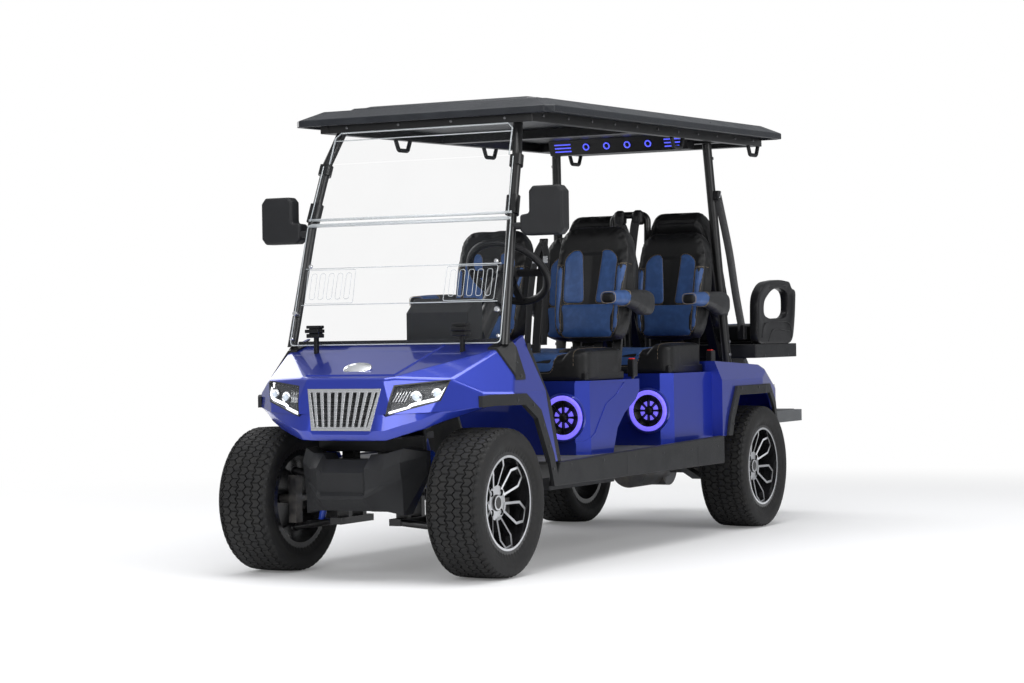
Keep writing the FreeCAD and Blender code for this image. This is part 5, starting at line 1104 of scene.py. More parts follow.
def make_armrests():
    """Padded armrests: a black cap at the tip, a blue part and a grey leather part that deepens rearwards."""
    low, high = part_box("armrests")
    long, tall, half = 0.416, high.z - low.z, 0.0325
    rings = []
    for t, grow in ((0.0, 0.45), (0.006, 0.80), (0.03, 1.0), (0.10, 1.0), (0.2, 1.0), (0.3, 1.0), (0.4, 1.0),
                    (0.5, 1.0), (0.6, 1.0), (0.7, 1.0), (0.78, 1.0), (0.86, 1.0), (0.93, 1.0), (0.97, 0.93),
                    (0.992, 0.75), (1.0, 0.45)):
        middle, reach = arm_middle(t, tall)
        rings.append([(boxy(math.cos(a)) * half * grow, t * long, middle + boxy(math.sin(a)) * reach * grow)
                      for a in angles(28)])
    form = soft_form("armrest_form", [p for ring in rings for p in ring], ring_faces(len(rings), 28), 0.0048,
                     0.003,
                     2.0)
    for row, start in (("first", -0.450), ("second", 0.377)):
        for side, sign in SIDES:
            name = "armrest_%s_%s" % (row, side)
            place = Matrix.Translation((sign * 0.458, start, low.z))
            made = copy_form(form, name, place, "cap")
            made.data.materials.append(finish("inserts"))
            made.data.materials.append(finish("grey_leather"))
            for face in made.data.polygons:
                t = (face.center.y - start) / long
                up = (face.center.z - low.z) / tall
                edge = ARM_BLUE - (1 - up) * 0.10
                face.material_index = 0 if t < ARM_TIP else (1 if t < edge else 2)
            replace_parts(made, "armrests")
            seams = Batch()
            for share, slant in ((ARM_TIP, 0.0), (ARM_BLUE, 0.10)):
                middle, reach = arm_middle(share, tall)
                loop = []
                for angle in angles(36):
                    x = boxy(math.cos(angle)) * (half + 0.0006)
                    z = middle + boxy(math.sin(angle)) * (reach + 0.0006)
                    t = share - (1 - z / tall) * slant
                    loop.append(Vector((sign * 0.458 + x, start + t * long, low.z + z)))
                seams.strand(loop, 0.0013, 6, closed=True)
            seams.made(name + "_seams", "thread", "upholstery")
    bpy.data.objects.remove(form)


def make_side_covers():
    """The D-shaped covers beside the rear bench: a rounded ring over a sunk panel."""
    low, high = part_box("rear_armrests")
    long, tall = high.y - low.y, high.z - low.z
    outline = rounded([(long * a, tall * b) for a, b in
                       ((0.0, 0.0), (0.015, 0.74), (0.20, 0.95), (0.56, 1.0), (0.84, 0.97), (0.89, 0.86),
                        (1.0, 0.84),
                        (0.97, 0.42), (0.90, 0.0))], 0.055, 6)
    hole = rounded([(long * a, tall * b) for a, b in
                    ((0.17, 0.44), (0.18, 0.66), (0.38, 0.84), (0.60, 0.875), (0.80, 0.80), (0.80, 0.48),
                     (0.70, 0.40),
                     (0.34, 0.385))], 0.05, 6)
    centre = (long * 0.50, tall * 0.60)
    count = 120
    outer, inner = by_angle(outline, centre, count), by_angle(hole, centre, count)
    for side, sign in SIDES:
        middle = sign * (abs(low.x) + 0.448) / 2
        half = 0.022
        rings = []
        section = ((0.0, -half * 0.72), (0.02, -half * 0.94), (0.07, -half), (0.93, -half),
                   (0.98, -half * 0.94),
                   (1.0, -half * 0.72), (1.0, half * 0.72), (0.98, half * 0.94), (0.93, half),
                   (0.50, half * 0.98),
                   (0.46, half * 0.86), (0.07, half * 0.90), (0.02, half * 0.84), (0.0, half * 0.62))
        for share, depth in section:
            rings.append([Vector((middle + sign * depth, low.y + b[0] + (a[0] - b[0]) * share,
                                  low.z + b[1] + (a[1] - b[1]) * share)) for a, b in zip(outer, inner)])
        skin = Batch()
        skin.loops(rings, loop=True)
        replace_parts(sharpened(skin.made("side_cover_" + side, "dark", "dark_trim"), 50), "rear_armrests")
        ridge = Batch()
        face_x = middle + sign * half
        for path in (((0.10, 0.10), (0.16, 0.28), (0.30, 0.33), (0.72, 0.34), (0.84, 0.26), (0.86, 0.08)),
                     ((0.26, 0.04), (0.40, 0.22), (0.80, 0.20))):
            line = [Vector((face_x, low.y + long * a, low.z + tall * b)) for a, b in path]
            ridge.strand(smooth_line(line, 5), 0.0022, 6)
        ridge.made("side_cover_ridges_" + side, "dark", "dark_trim")


# Lamps and speakers

def make_speakers():
    """Speakers with a painted lip, a glowing ring, a ribbed black cone and lit wedges round the hub."""
    wide = 0.100
    for row, node_y in (("first", -0.672), ("second", 0.156)):
        for side, sign in SIDES:
            place = Vector((sign * 0.36, node_y, 0.566))
            axis = (0, -1, 0)
            name = "speaker_%s_%s" % (row, side)
            lip, ring, cone, wedges, ribs = Batch(), Batch(), Batch(), Batch(), Batch()
            lip.turned(place, axis,
                       [(wide, 0.001), (wide, 0.008), (wide * 0.985, 0.011), (wide * 0.93, 0.0125),
                                     (wide * 0.90, 0.011), (wide * 0.90, 0.001)], 72, ring=True)
            ring.turned(place, axis, [(wide * 0.895, 0.001), (wide * 0.895, 0.0115), (wide * 0.86, 0.0140),
                                      (wide * 0.75, 0.0145), (wide * 0.705, 0.0120), (wide * 0.70, 0.001)],
                        72,
                        ring=True)
            cone.turned(place, axis, [(wide * 0.70, 0.002), (wide * 0.70, 0.010), (wide * 0.66, 0.012),
                                      (wide * 0.62, 0.008), (wide * 0.44, -0.006), (wide * 0.20, -0.012),
                                      (wide * 0.18, -0.030), (wide * 0.70, -0.030)], 72, ring=True)
            cone.turned(place, axis, [(wide * 0.17, -0.012), (wide * 0.17, 0.010), (wide * 0.13, 0.014),
                                      (wide * 0.05, 0.015)], 32)
            for k in range(8):
                angle = 2 * math.pi * (k + 0.5) / 8
                start, end = angle - 0.27, angle + 0.27
                shape = []
                for radius, a, b in ((0.22, start + 0.06, end - 0.06), (0.42, end, start)):
                    for j in range(4):
                        turn = a + (b - a) * j / 3
                        shape.append((wide * radius * math.cos(turn), wide * radius * math.sin(turn)))
                low_ring = [place + Vector((x, 0.008, z)) for x, z in shape]
                top_ring = [place + Vector((x, 0.001, z)) for x, z in shape]
                wedges.loops([low_ring, top_ring])
                for lean in (-0.10, 0.10):
                    near = Vector((math.cos(angle + 0.39 + lean * 0.3), 0,
                                   math.sin(angle + 0.39 + lean * 0.3)))
                    far = Vector((math.cos(angle + 0.39 + lean), 0, math.sin(angle + 0.39 + lean)))
                    ribs.ribbon([place + near * wide * 0.14 + Vector((0, -0.008, 0)),
                                 place + near * wide * 0.40 + Vector((0, -0.009, 0)),
                                 place + far * wide * 0.69 + Vector((0, -0.010, 0))],
                                Vector((0, 1, 0)), 0.008, 0.0032)
            lip_piece = lip.made(name + "_lip", "paint", "body_paint")
            ring_piece = ring.made(name + "_ring", "ring_light")
            cone_piece = cone.made(name + "_cone", "smooth_trim", "dark_trim")
            wedges.made(name + "_wedges", "ring_light")
            ribs.made(name + "_ribs", "smooth_trim", "dark_trim", smooth=False)
            for made in (lip_piece, ring_piece, cone_piece):
                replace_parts(sharpened(made, 40), "speakers")


LAMP_CORNERS = (((0.187, -1.803, 0.611), (0.206, -1.756, 0.726)),
                ((0.375, -1.704, 0.665), (0.401, -1.670, 0.745)))
LAMP_EYES = ((0.284, 0.6805, 0.023), (0.3542, 0.6913, 0.0207))
LIGHT_LINE = ((0.1985, 0.6225), (0.245, 0.636), (0.262, 0.6405), (0.275, 0.652), (0.320, 0.664),
              (0.3640, 0.6765),
              (0.3780, 0.700), (0.3885, 0.733))


def lamp_spot(across, up, sink):
    """A place on the lamp's cover by its shares across and up."""
    inner, outer = ([Vector(c) for c in edge] for edge in LAMP_CORNERS)
    spot = inner[0].lerp(inner[1], up).lerp(outer[0].lerp(outer[1], up), across)
    return spot + Vector((0, sink, 0))


def make_headlamps():
    """Two projectors with bright rings, an angled light, blades and a clear cover in each lamp."""
    for side, sign in SIDES:
        chrome, light, lens, cover = Batch(), Batch(), Batch(), Batch()
        for x, z, radius in LAMP_EYES:
            hit, _ = from_front("headlamps", sign * x, z)
            axis = Vector((sign * 0.25, -1, 0.05))
            chrome.strand(circle(hit + Vector((0, -0.001, 0)), axis, radius * 0.92, 36), 0.0026, 8,
                          closed=True)
            chrome.strand(circle(hit + Vector((0, -0.002, 0)), axis, radius * 0.62, 36), 0.0016, 8,
                          closed=True)
            lens.head(hit, axis, radius * 0.58, 0.009, 28, 0.7)
            light.strand(circle(hit + Vector((0, -0.002, 0)), axis, radius * 0.77, 36)[2:17], 0.0016, 6)
            light.strand(circle(hit + Vector((0, -0.002, 0)), axis, radius * 0.77, 36)[20:35], 0.0016, 6)
        line = []
        for x, z in LIGHT_LINE:
            hit, _ = from_front("headlamps", sign * x, z)
            line.append(hit + Vector((0, -0.002, 0)))
        light.strand(smooth_line(line, 4), 0.0058, 10)
        for k in range(5):
            spot = lamp_spot(0.05 + k * 0.055, 0.42 - k * 0.02, 0.018)
            tip = lamp_spot(0.10 + k * 0.055, 0.80, 0.020)
            chrome.ribbon([Vector((sign * spot.x, spot.y, spot.z)), Vector((sign * tip.x, tip.y, tip.z))],
                          (0, 1, 0), 0.012, 0.002)
        spots = [[lamp_spot(0.02 + 0.96 * k / 8, 0.04 + 0.92 * j / 4, 0.0025) for k in range(9)]
                 for j in range(5)]
        cover.grid([[Vector((sign * spot.x, spot.y, spot.z)) for spot in row] for row in spots])
        chrome.made("lamp_rings_" + side, "mirror", "bright_trim")
        light.made("lamp_light_" + side, "white_light", "lamp")
        lens.made("lamp_eyes_" + side, "lens", "lamp")
        shown = cover.made("lamp_cover_" + side, "cover", "pane")
        thick = shown.modifiers.new("wall", "SOLIDIFY")
        thick.thickness = 0.002


def make_tail_lamps():
    """Red lenses with bright surrounds on the rear corners."""
    low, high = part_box("tail_lamps")
    for side, sign in SIDES:
        x0, x1 = sorted((sign * 0.440, sign * 0.486))
        lens, rim = Batch(), Batch()
        lens.block((x0 + 0.006, high.y - 0.006, low.z + 0.008), (x1 - 0.006, high.y + 0.004, high.z - 0.008))
        corners = [(x0 + 0.003, low.z + 0.004), (x1 - 0.003, low.z + 0.004), (x1 - 0.003, high.z - 0.004),
                   (x0 + 0.003, high.z - 0.004)]
        loop = [Vector((x, high.y + 0.001, z)) for x, z in rounded(corners, 0.012, 5)]
        rim.strand(loop, 0.0035, 8, closed=True)
        lens.blocks("tail_lens_" + side, "tail_red", "lamp", 0.004, 3)
        rim.made("tail_rim_" + side, "chrome", "bright_trim")


def make_light_bar():
    """Blue rings and strips on the overhead bar's forward face."""
    rings, strips, caps = Batch(), Batch(), Batch()
    for x in (-0.1575, -0.0525, 0.0525, 0.1575):
        hit, normal = from_front("light_bar", x, 1.772, 0.2)
        rings.strand(circle(hit + normal * 0.001, normal, 0.0135, 40), 0.0032, 8, closed=True)
        caps.head(hit, normal, 0.0085, 0.004, 24, 0.5)
    for sign in (1, -1):
        for z in (1.7560, 1.7715, 1.7870):
            line = []
            for k in range(5):
                hit, normal = from_front("light_bar", sign * (0.238 + 0.0205 * k), z, 0.2)
                line.append(hit + normal * 0.0008)
            strips.strand(line, 0.0030, 8)
    rings.made("bar_rings", "bar_light", "lamp")
    strips.made("bar_strips", "bar_light", "lamp")
    caps.made("bar_caps", "smooth_trim", "dark_trim")


# Nose and windshield

# The nose's lower band: half width, top height, forward face, lowest height
CHIN_ROWS = ((0.0, 0.556, -1.8020, 0.521), (0.060, 0.556, -1.8020, 0.521), (0.122, 0.556, -1.8020, 0.521),
             (0.131, 0.570, -1.7985, 0.521), (0.139, 0.606, -1.7915, 0.521), (0.148, 0.643, -1.7850, 0.522),
             (0.166, 0.628, -1.7865, 0.522), (0.187, 0.609, -1.7900, 0.523), (0.250, 0.627, -1.7690, 0.543),
             (0.312, 0.644, -1.7360, 0.562), (0.375, 0.663, -1.7020, 0.590), (0.420, 0.640, -1.6600, 0.608),
             (0.472, 0.642, -1.6100, 0.630), (0.498, 0.652, -1.5830, 0.643))


def make_chin():
    """The painted band below the grille and lamps with its crease, and dark blocks behind it that paint the
    shade in the nose.
    """
    skin = Batch()
    lines = []
    rows = [(-x, top, y, low) for x, top, y, low in reversed(CHIN_ROWS[1:])] + list(CHIN_ROWS)
    for x, top, y, low in rows:
        lean = 0.2 if abs(x) < 0.17 else 0.1
        crease = low + min(0.034, (top - low) * 0.6)
        front = y - (top - crease) * lean if abs(x) > 0.125 else y
        lines.append([Vector(p) for p in (
            (x, y + 0.008, top + 0.008), (x, y + 0.0012, top), (x, front, crease + 0.002),
            (x, front + 0.001, crease), (x * 0.996, front + 0.013, low + 0.004),
            (x * 0.995, front + 0.017, low),
            (x * 0.99, front + 0.060, low + 0.002))])
    skin.grid(lines)
    made = sharpened(skin.made("nose_band", "paint", "body_paint"), 24)
    wall = made.modifiers.new("wall", "SOLIDIFY")
    wall.thickness = 0.004
    wall.offset = 1 if made.data.polygons[0].normal.y > 0 else -1
    # dark blocks behind the band: painted shade where one looks into the nose
    shade_sheet = Batch()
    shade_sheet.block((-0.235, -1.745, 0.528), (0.235, -1.560, 0.536))
    shade_sheet.block((-0.235, -1.585, 0.470), (0.235, -1.565, 0.620))
    shade_sheet.blocks("nose_shade_sheet", "dark", "dark_trim", 0.004, 2)


def make_nose_trim():
    """Bare oval badge, the grille's dark mesh, the clips at the windshield's foot and the flares' bolts."""
    badge, rim = Batch(), Batch()
    hit, normal = from_above("front_body", 0, -1.672, 1.3)
    axis = (normal + Vector((0, -0.32, 0))).normalized()
    seat = hit + Vector((0, 0, 0.0045))
    turn = axis.to_track_quat("Z", "X").to_matrix()

    def oval(wide, tall, rise):
        return [seat + turn @ Vector((wide * math.sin(a), tall * math.cos(a), rise)) for a in angles(48)]

    badge.loops([oval(0.034 * share, 0.057 * share, rise) for share, rise in
                 ((1.0, -0.010), (1.0, 0.0), (0.86, 0.0016), (0.5, 0.003), (0.1, 0.0036))])
    rim.strand(oval(0.034, 0.057, 0.001), 0.0032, 8, closed=True)
    rim.strand(oval(0.027, 0.048, 0.002), 0.0011, 6, closed=True)
    badge.made("badge_plate", "badge", "bright_trim")
    rim.made("badge_rim", "mirror", "bright_trim")
    mesh = Batch()
    high_hit, _ = from_front("grille", 0.0, 0.705)
    low_hit, _ = from_front("grille", 0.0, 0.565)
    back = 0.030
    mesh.points = [Vector((0.150, high_hit.y + back, 0.706)), Vector((-0.150, high_hit.y + back, 0.706)),
                   Vector((-0.122, low_hit.y + back, 0.566)), Vector((0.122, low_hit.y + back, 0.566))]
    mesh.points += [p + Vector((0, 0.004, 0)) for p in mesh.points]
    mesh.faces = ring_faces(2, 4)
    mesh.made("grille_mesh", "mesh", "dark_trim", smooth=False)
    clips = Batch()
    for sign in (1, -1):
        x, y = sign * 0.326, -1.452
        hit, _ = from_above("front_body", x, y, 1.3)
        clips.block((x - 0.008, y - 0.002, hit.z - 0.006), (x + 0.008, y + 0.016, 0.912))
        for low, high, lead, grow in ((0.905, 0.921, 0.0, 0.0), (0.924, 0.938, 0.008, 0.002),
                                      (0.941, 0.953, 0.0, 0.0)):
            clips.block((x - 0.029 - grow, y - 0.022 - lead, low), (x + 0.029 + grow, y + 0.020, high))
        clips.block((x - 0.024, y - 0.010, 0.905), (x + 0.024, y + 0.018, 0.945))
    clips.blocks("pane_clips", "dark", "dark_trim", 0.003, 3)
    bolts = Batch()
    for sign in (1, -1):
        bolts.heads("front_flares", sign, ((-1.472, 0.662), (-1.345, 0.640), (-1.265, 0.562), (-1.218, 0.478),
                                           (-1.186, 0.390)), 0.0058, 0.003)
        bolts.heads("rear_flares", sign, ((0.626, 0.490), (0.626, 0.560), (0.728, 0.648), (0.932, 0.648),
                                          (1.136, 0.622), (1.238, 0.510)), 0.0058, 0.003)
    bolts.made("flare_bolts", "screw")


PANE_LOW, PANE_RISE, PANE_SLOPE = -1.414, 0.872, 0.130 / 0.488


def pane_spot(x, z, lift=0.0):
    """A place on the lower pane's forward face."""
    return Vector((x, PANE_LOW + (z - PANE_RISE) * PANE_SLOPE - lift, z))


def outlined(batch, corners, radius, round_by, lift=0.0):
    """A rounded outline on the lower pane, drawn by a thin pale strand, a painted highlight on its cut edge.
    """
    batch.strand([pane_spot(x, z, lift) for x, z in rounded(corners, round_by, 6)], radius, 6, closed=True)


def make_windshield():
    """Pane edges, seams and the vents' outlines and slots in pale strands, a painted highlight on the
    acrylic; knobs and the header.
    """
    edges, knobs, plates = Batch(), Batch(), Batch()
    # the pale strands here paint the highlight that light makes on the acrylic's edges
    outlined(edges, [(-0.470, 0.876), (0.470, 0.876), (0.458, 1.356), (-0.458, 1.356)], 0.0022, 0.02)
    for z in (1.034, 1.178):
        edges.strand([pane_spot(-0.44, z, 0.003), pane_spot(0.44, z, 0.003)], 0.0018, 8)
    for sign in (1, -1):
        corners = [(sign * 0.203, 1.040), (sign * 0.424, 1.040), (sign * 0.427, 1.172), (sign * 0.206, 1.172)]
        outlined(edges, corners, 0.0013, 0.008, 0.004)
        for k in range(5):
            x = sign * (0.235 + 0.040 * k)
            outlined(edges, [(x - 0.012, 1.056), (x + 0.012, 1.056), (x + 0.012, 1.158), (x - 0.012, 1.158)],
                     0.0012, 0.012, 0.004)
        knobs.turned(pane_spot(sign * 0.452, 0.997), (0, -1, 0.27), [(0.005, -0.008), (0.005, 0.012),
                     (0.010, 0.013), (0.0105, 0.024), (0.009, 0.027)], 24)
        knobs.turned(pane_spot(sign * 0.462, 0.901), (0, -1, 0.27), [(0.004, -0.008), (0.0075, 0.004),
                     (0.0075, 0.009), (0.005, 0.012)], 24)
        knobs.turned(pane_spot(sign * 0.418, 1.186), (0, -1, 0.27), [(0.004, -0.004), (0.0085, 0.002),
                     (0.0085, 0.008), (0.006, 0.011)], 24)
    for low_z in (1.349, 1.373):
        edges.ribbon([pane_spot(-0.458, low_z, -0.004), pane_spot(0.458, low_z, -0.004)], (0, 0.26, 1), 0.009,
                     0.010)
    low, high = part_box("windshield_upper")

    def upper(x, z):
        return Vector((x, low.y + (z - low.z) / (high.z - low.z) * (high.y - 0.006 - low.y), z))

    for sign in (1, -1):
        edges.strand([upper(sign * 0.447, low.z + 0.004), upper(sign * 0.430, high.z - 0.004)], 0.0020, 6)
    top = [(-0.408, -1.199, 1.600), (-0.402, -1.158, 1.706), (-0.380, -1.150, 1.726), (0.380, -1.150, 1.726),
           (0.402, -1.158, 1.706), (0.408, -1.199, 1.600)]
    edges.strand([Vector(p) for p in top], 0.0032, 8)
    edges.strand([Vector((-0.40, -1.163, 1.694)), Vector((0.40, -1.163, 1.694))], 0.0022, 8)
    plates.points = [Vector(p) for p in top] + [Vector(p) + Vector((0, 0.003, 0)) for p in top]
    plates.faces = ring_faces(2, 6)
    plates.made("windshield_header", "glass", "pane", smooth=False)
    # the panes' edges, seams and outlines in one piece of painted highlight
    edges.made("painted_edge_highlights", "edge_highlight", "pane")
    sharpened(knobs.made("pane_knobs", "mirror", "bright_trim"), 40)


# Belts and small hardware

def make_belts():
    """Reels, webbing and red-button buckles of the belts."""
    webbing, shells, buttons, metal = Batch(), Batch(), Batch(), Batch()
    for sign in (1, -1):
        x = sign * 0.046
        shells.turned((x, 0.752, 1.408), (0, 0, 1),
                      [(0.024, 0.0), (0.030, 0.012), (0.031, 0.040), (0.026, 0.058),
                                                     (0.012, 0.068)], 24)
        drop = smooth_line([(x, 0.742, 1.450), (x * 0.9, 0.722, 1.40), (x * 0.75, 0.690, 1.25),
                            (x * 0.7, 0.640, 1.05),
                            (x * 0.8, 0.600, 0.90)], 6)
        webbing.ribbon(drop, (1, 0, 0), 0.044, 0.0022)
        anchor = Vector((sign * 0.427, 0.800, 1.528))
        line = smooth_line([anchor, (sign * 0.436, 0.900, 1.285), (sign * 0.430, 0.985, 1.09),
                            (sign * 0.424, 1.075, 0.915)], 8)
        webbing.ribbon(line, (sign * 0.5, 1, 0.2), 0.044, 0.0022)
        shells.block((sign * 0.425 - 0.014, 0.780, 1.508), (sign * 0.425 + 0.014, 0.814, 1.552))
        metal.strand([Vector((sign * 0.441, 0.790, 1.520)), Vector((sign * 0.441, 0.802, 1.546))], 0.0035, 8)
        shells.block((sign * 0.424 - 0.017, 1.058, 0.868), (sign * 0.424 + 0.017, 1.092, 0.935))
        for row_y, foot_z, top_z in ((-0.196, 0.714, 0.796), (0.640, 0.735, 0.822)):
            place = Vector((sign * 0.449, row_y, top_z))
            shells.block(place - Vector((0.014, 0.022, 0.074)), place + Vector((0.014, 0.022, 0.0)))
            buttons.block(place + Vector((-0.010, -0.018, -0.004)), place + Vector((0.010, 0.006, 0.004)))
            foot = Vector((sign * 0.449, row_y + 0.006, foot_z))
            webbing.ribbon([foot, place - Vector((0, 0, 0.070))], (0, 1, 0), 0.024, 0.006)
    stay = smooth_line([(0.0, -0.222, 0.716), (0.0, -0.200, 0.90), (0.0, -0.150, 1.15), (0.0, -0.120, 1.32)],
                       6)
    shells.ribbon(stay, (1, 0, 0), 0.040, 0.010)
    for sign in (1, -1):
        line = smooth_line([(0.0, -0.128, 1.31), (sign * 0.025, -0.150, 1.24), (sign * 0.036, -0.185, 1.08),
                            (sign * 0.040, -0.215, 0.86)], 6)
        webbing.ribbon(line, (1, 0, 0), 0.030, 0.0022)
        metal.block((sign * 0.026 - 0.011, -0.162, 1.212), (sign * 0.026 + 0.011, -0.158, 1.244))
    webbing.made("belt_webbing", "webbing")
    shells.blocks("belt_reels", "dark", "dark_trim", 0.004, 3)
    buttons.blocks("belt_buttons", "buckle_red", None, 0.002, 2)
    metal.blocks("belt_metal", "mirror", "bright_trim", 0.0015, 2)


def rail_height(y):
    """Middle height of the roof's side rails, which rise rearwards."""
    return 1.750 + (y + 1.146) * 0.0203


def make_hardware():
    """Bolts on the rails, posts, rockers and trays, and the rockers' seams."""
    bolts, screws, seams = Batch(), Batch(), Batch()
    for sign in (1, -1):
        rail = [-1.05 + 0.215 * k for k in range(11)]
        bolts.heads("roof_rails", sign, [(y, rail_height(y) + 0.004) for y in rail], 0.0062, 0.0045, 6, 0.2)
        screws.heads("rocker_panels", sign, [(-1.03 + 0.29 * k, 0.400) for k in range(6)], 0.0048, 0.002)
        for y in (-0.52, 0.20):
            seams.strand([from_side("rocker_panels", sign, y, z)[0] for z in
                          (0.332, 0.350, 0.370, 0.390, 0.408)], 0.0012, 6)
        screws.heads("windshield_posts", sign, ((-1.392, 0.75), (-1.392, 0.80)), 0.006, 0.003)
        bolts.heads("rear_posts", sign, ((0.865, 0.80), (0.865, 0.86), (0.785, 1.70)), 0.008, 0.005, 6, 0.2)
        screws.heads("rear_tray", sign, ((1.20, 0.79), (1.50, 0.79)), 0.006, 0.003)
    for x in (-0.36, -0.12, 0.12, 0.36):
        hit, normal = from_front("roof_rails", x, 1.748, -2.0)
        bolts.head(hit - normal * HEAD_SINK, normal, 0.0062, 0.0045, 6, 0.2)
    bolts.made("frame_bolts", "bolt", smooth=False)
    screws.made("trim_screws", "screw")
    seams.made("rocker_seams", "screw")


def make_roof_trim():
    """The raised middle of the roof, its seam and the rain channels beside it."""
    skin, seam = Batch(), Batch()
    rows = []
    for y in (-0.98, -0.95, -0.60, -0.2, 0.2, 0.6, 0.98, 1.01):
        rise = 0.011 if abs(y) < 0.97 else 0.0
        row = []
        for x in (-0.42, -0.40, -0.36, -0.2, 0.0, 0.2, 0.36, 0.40, 0.42):
            share = max(0.0, min(1.0, (0.42 - abs(x)) / 0.05))
            row.append(Vector((x, y, min(from_above("roof", x, y)[0].z + rise * share - 0.001, 1.8795))))
        rows.append(row)
    skin.grid(rows)
    skin.made("roof_crown", "roof", "roof_skin")
    for sign in (1, -1):
        line = [from_above("roof", sign * 0.50, -1.0 + 0.2 * k)[0] for k in range(11)]
        seam.strand(line, 0.0022, 6)
    line = [from_above("roof", -0.56 + 0.08 * k, 0.42)[0] for k in range(15)]
    seam.strand(line, 0.0014, 6)
    seam.made("roof_seams", "dark", "roof_skin")


def make_dash_trim():
    """Display with its dials, and knobs, on the dashboard's face to the driver."""
    glass, dials, knobs = Batch(), Batch(), Batch()
    hit, _ = land("dashboard", (0.125, -0.7, 0.965), (0, -1, 0))
    y = hit.y + 0.001
    glass.block((0.010, y - 0.002, 0.912), (0.240, y + 0.003, 1.018))
    for x in (0.065, 0.185):
        arc = circle((x, y + 0.0036, 0.968), (0, 1, 0), 0.036, 48)
        dials.strand(arc[4:44], 0.0012, 4)
        for k in range(9):
            a = math.pi * (-0.15 + 1.3 * k / 8)
            way = Vector((math.cos(a), 0, math.sin(a)))
            middle = Vector((x, y + 0.0036, 0.966))
            dials.strand([middle + way * 0.027, middle + way * 0.032], 0.0008, 4)
    dials.strand([Vector((0.105, y + 0.0036, 0.945)), Vector((0.145, y + 0.0036, 0.945))], 0.002, 4)
    for k in range(4):
        hit, normal = land("dashboard", (-0.40 + 0.075 * k, -0.7, 0.80), (0, -1, 0))
        knobs.head(hit, normal, 0.014, 0.010, 28, 0.35)
    glass.blocks("dash_display", "display", "dark_trim", 0.003, 3)
    dials.made("dash_dials", "dial_light")
    knobs.made("dash_knobs", "smooth_trim", "dark_trim")


# Groups, one operator each

def plain_dress():
    """Finishes for the construction nodes that show as they are."""
    table = {
        "shell": ("front_body",),
        "paint": ("seat_box_front", "rear_body"),
        "trim": ("front_bumper", "front_flares", "pillar_trims", "rocker_panels", "rear_flares", "dashboard",
                 "rear_tray", "rear_armrests", "grab_handles", "mirrors", "speakers"),
        "steel": ("suspension_arms", "leaf_springs", "chassis_frame", "windshield_posts", "roof_rails",
                  "rear_posts", "seat_brackets", "rear_back_brackets", "belt_hoop"),
        "cast": ("knuckle_left", "knuckle_right", "steering_rack", "rear_axle"),
        "spring": ("shock_absorbers",),
        "battery": ("battery_block",),
        "mat": ("floor_pan",),
        "roof": ("roof",),
        "chrome": ("grille", "tail_lamps"),
        "lamp_inside": ("headlamps",),
        "smooth_trim": ("steering_column", "light_bar"),
        "grip": ("steering_wheel",),
        "glass": ("windshield_lower", "windshield_upper"),
        "leather": ("armrests", "rear_cushion", "rear_backs"),
        "step": ("footrest",),
    }
    for name, nodes in table.items():
        for node in nodes:
            dress(node, finish(name))
    for end in ENDS:
        for side, sign in SIDES:
            node = "rim_%s_%s" % (end, side)
            low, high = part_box(node)
            middle = (low + high) / 2
            dress(node, alloy_finish("alloy_%s_%s" % (end, side), sign, middle.y, middle.z))


def round_edges():
    """Small rounded edges on the construction nodes that have square ones."""
    widths = {
        "front_flares": 3, "rear_flares": 3, "pillar_trims": 4, "rocker_panels": 4, "roof": 4,
        "rear_tray": 6, "rear_armrests": 6, "dashboard": 8, "seat_brackets": 1.5, "footrest": 2,
        "roof_rails": 2, "light_bar": 6, "tail_lamps": 3, "grille": 0.8,
    }
    for node, width in widths.items():
        weld = NODES[node].modifiers.new("weld", "WELD")
        weld.merge_threshold = 0.01 * MM
        soften(NODES[node], width * MM, 3)


def make_tyres():
    """Four road tyres."""
    for end in ENDS:
        for side, _ in SIDES:
            make_tyre(*("%s_%s_%s" % (word, end, side) for word in ("road_tyre", "tyre", "wheel")))


def floor_finish():
    """A pale floor that keeps the cart's shadow and runs out into the white background."""
    made = Finish("floor_white", colour=(0.86, 0.86, 0.865), rough=0.65, specular=0.2)
    x, y, _ = made.axes()
    far = made.smooth(made.sum("SQRT", x ** 2 + y ** 2), 2.4, 6.0)
    seen = made.sum("MAXIMUM", made.node("ShaderNodeLightPath", output="Is Camera Ray"),
                    made.node("ShaderNodeLightPath", output="Is Transmission Ray"))
    white = made.node("ShaderNodeEmission", None, {"Color": (1, 1, 1)})
    shown = made.node("ShaderNodeMixShader", None, {0: seen * (far * 0.88 + 0.12)})
    joined = shown.socket.node
    made.tree.links.new(made.shader.outputs[0], joined.inputs[1])
    made.tree.links.new(white.socket, joined.inputs[2])
    made.tree.links.new(joined.outputs[0], made.tree.nodes["Material Output"].inputs["Surface"])
    return made.material


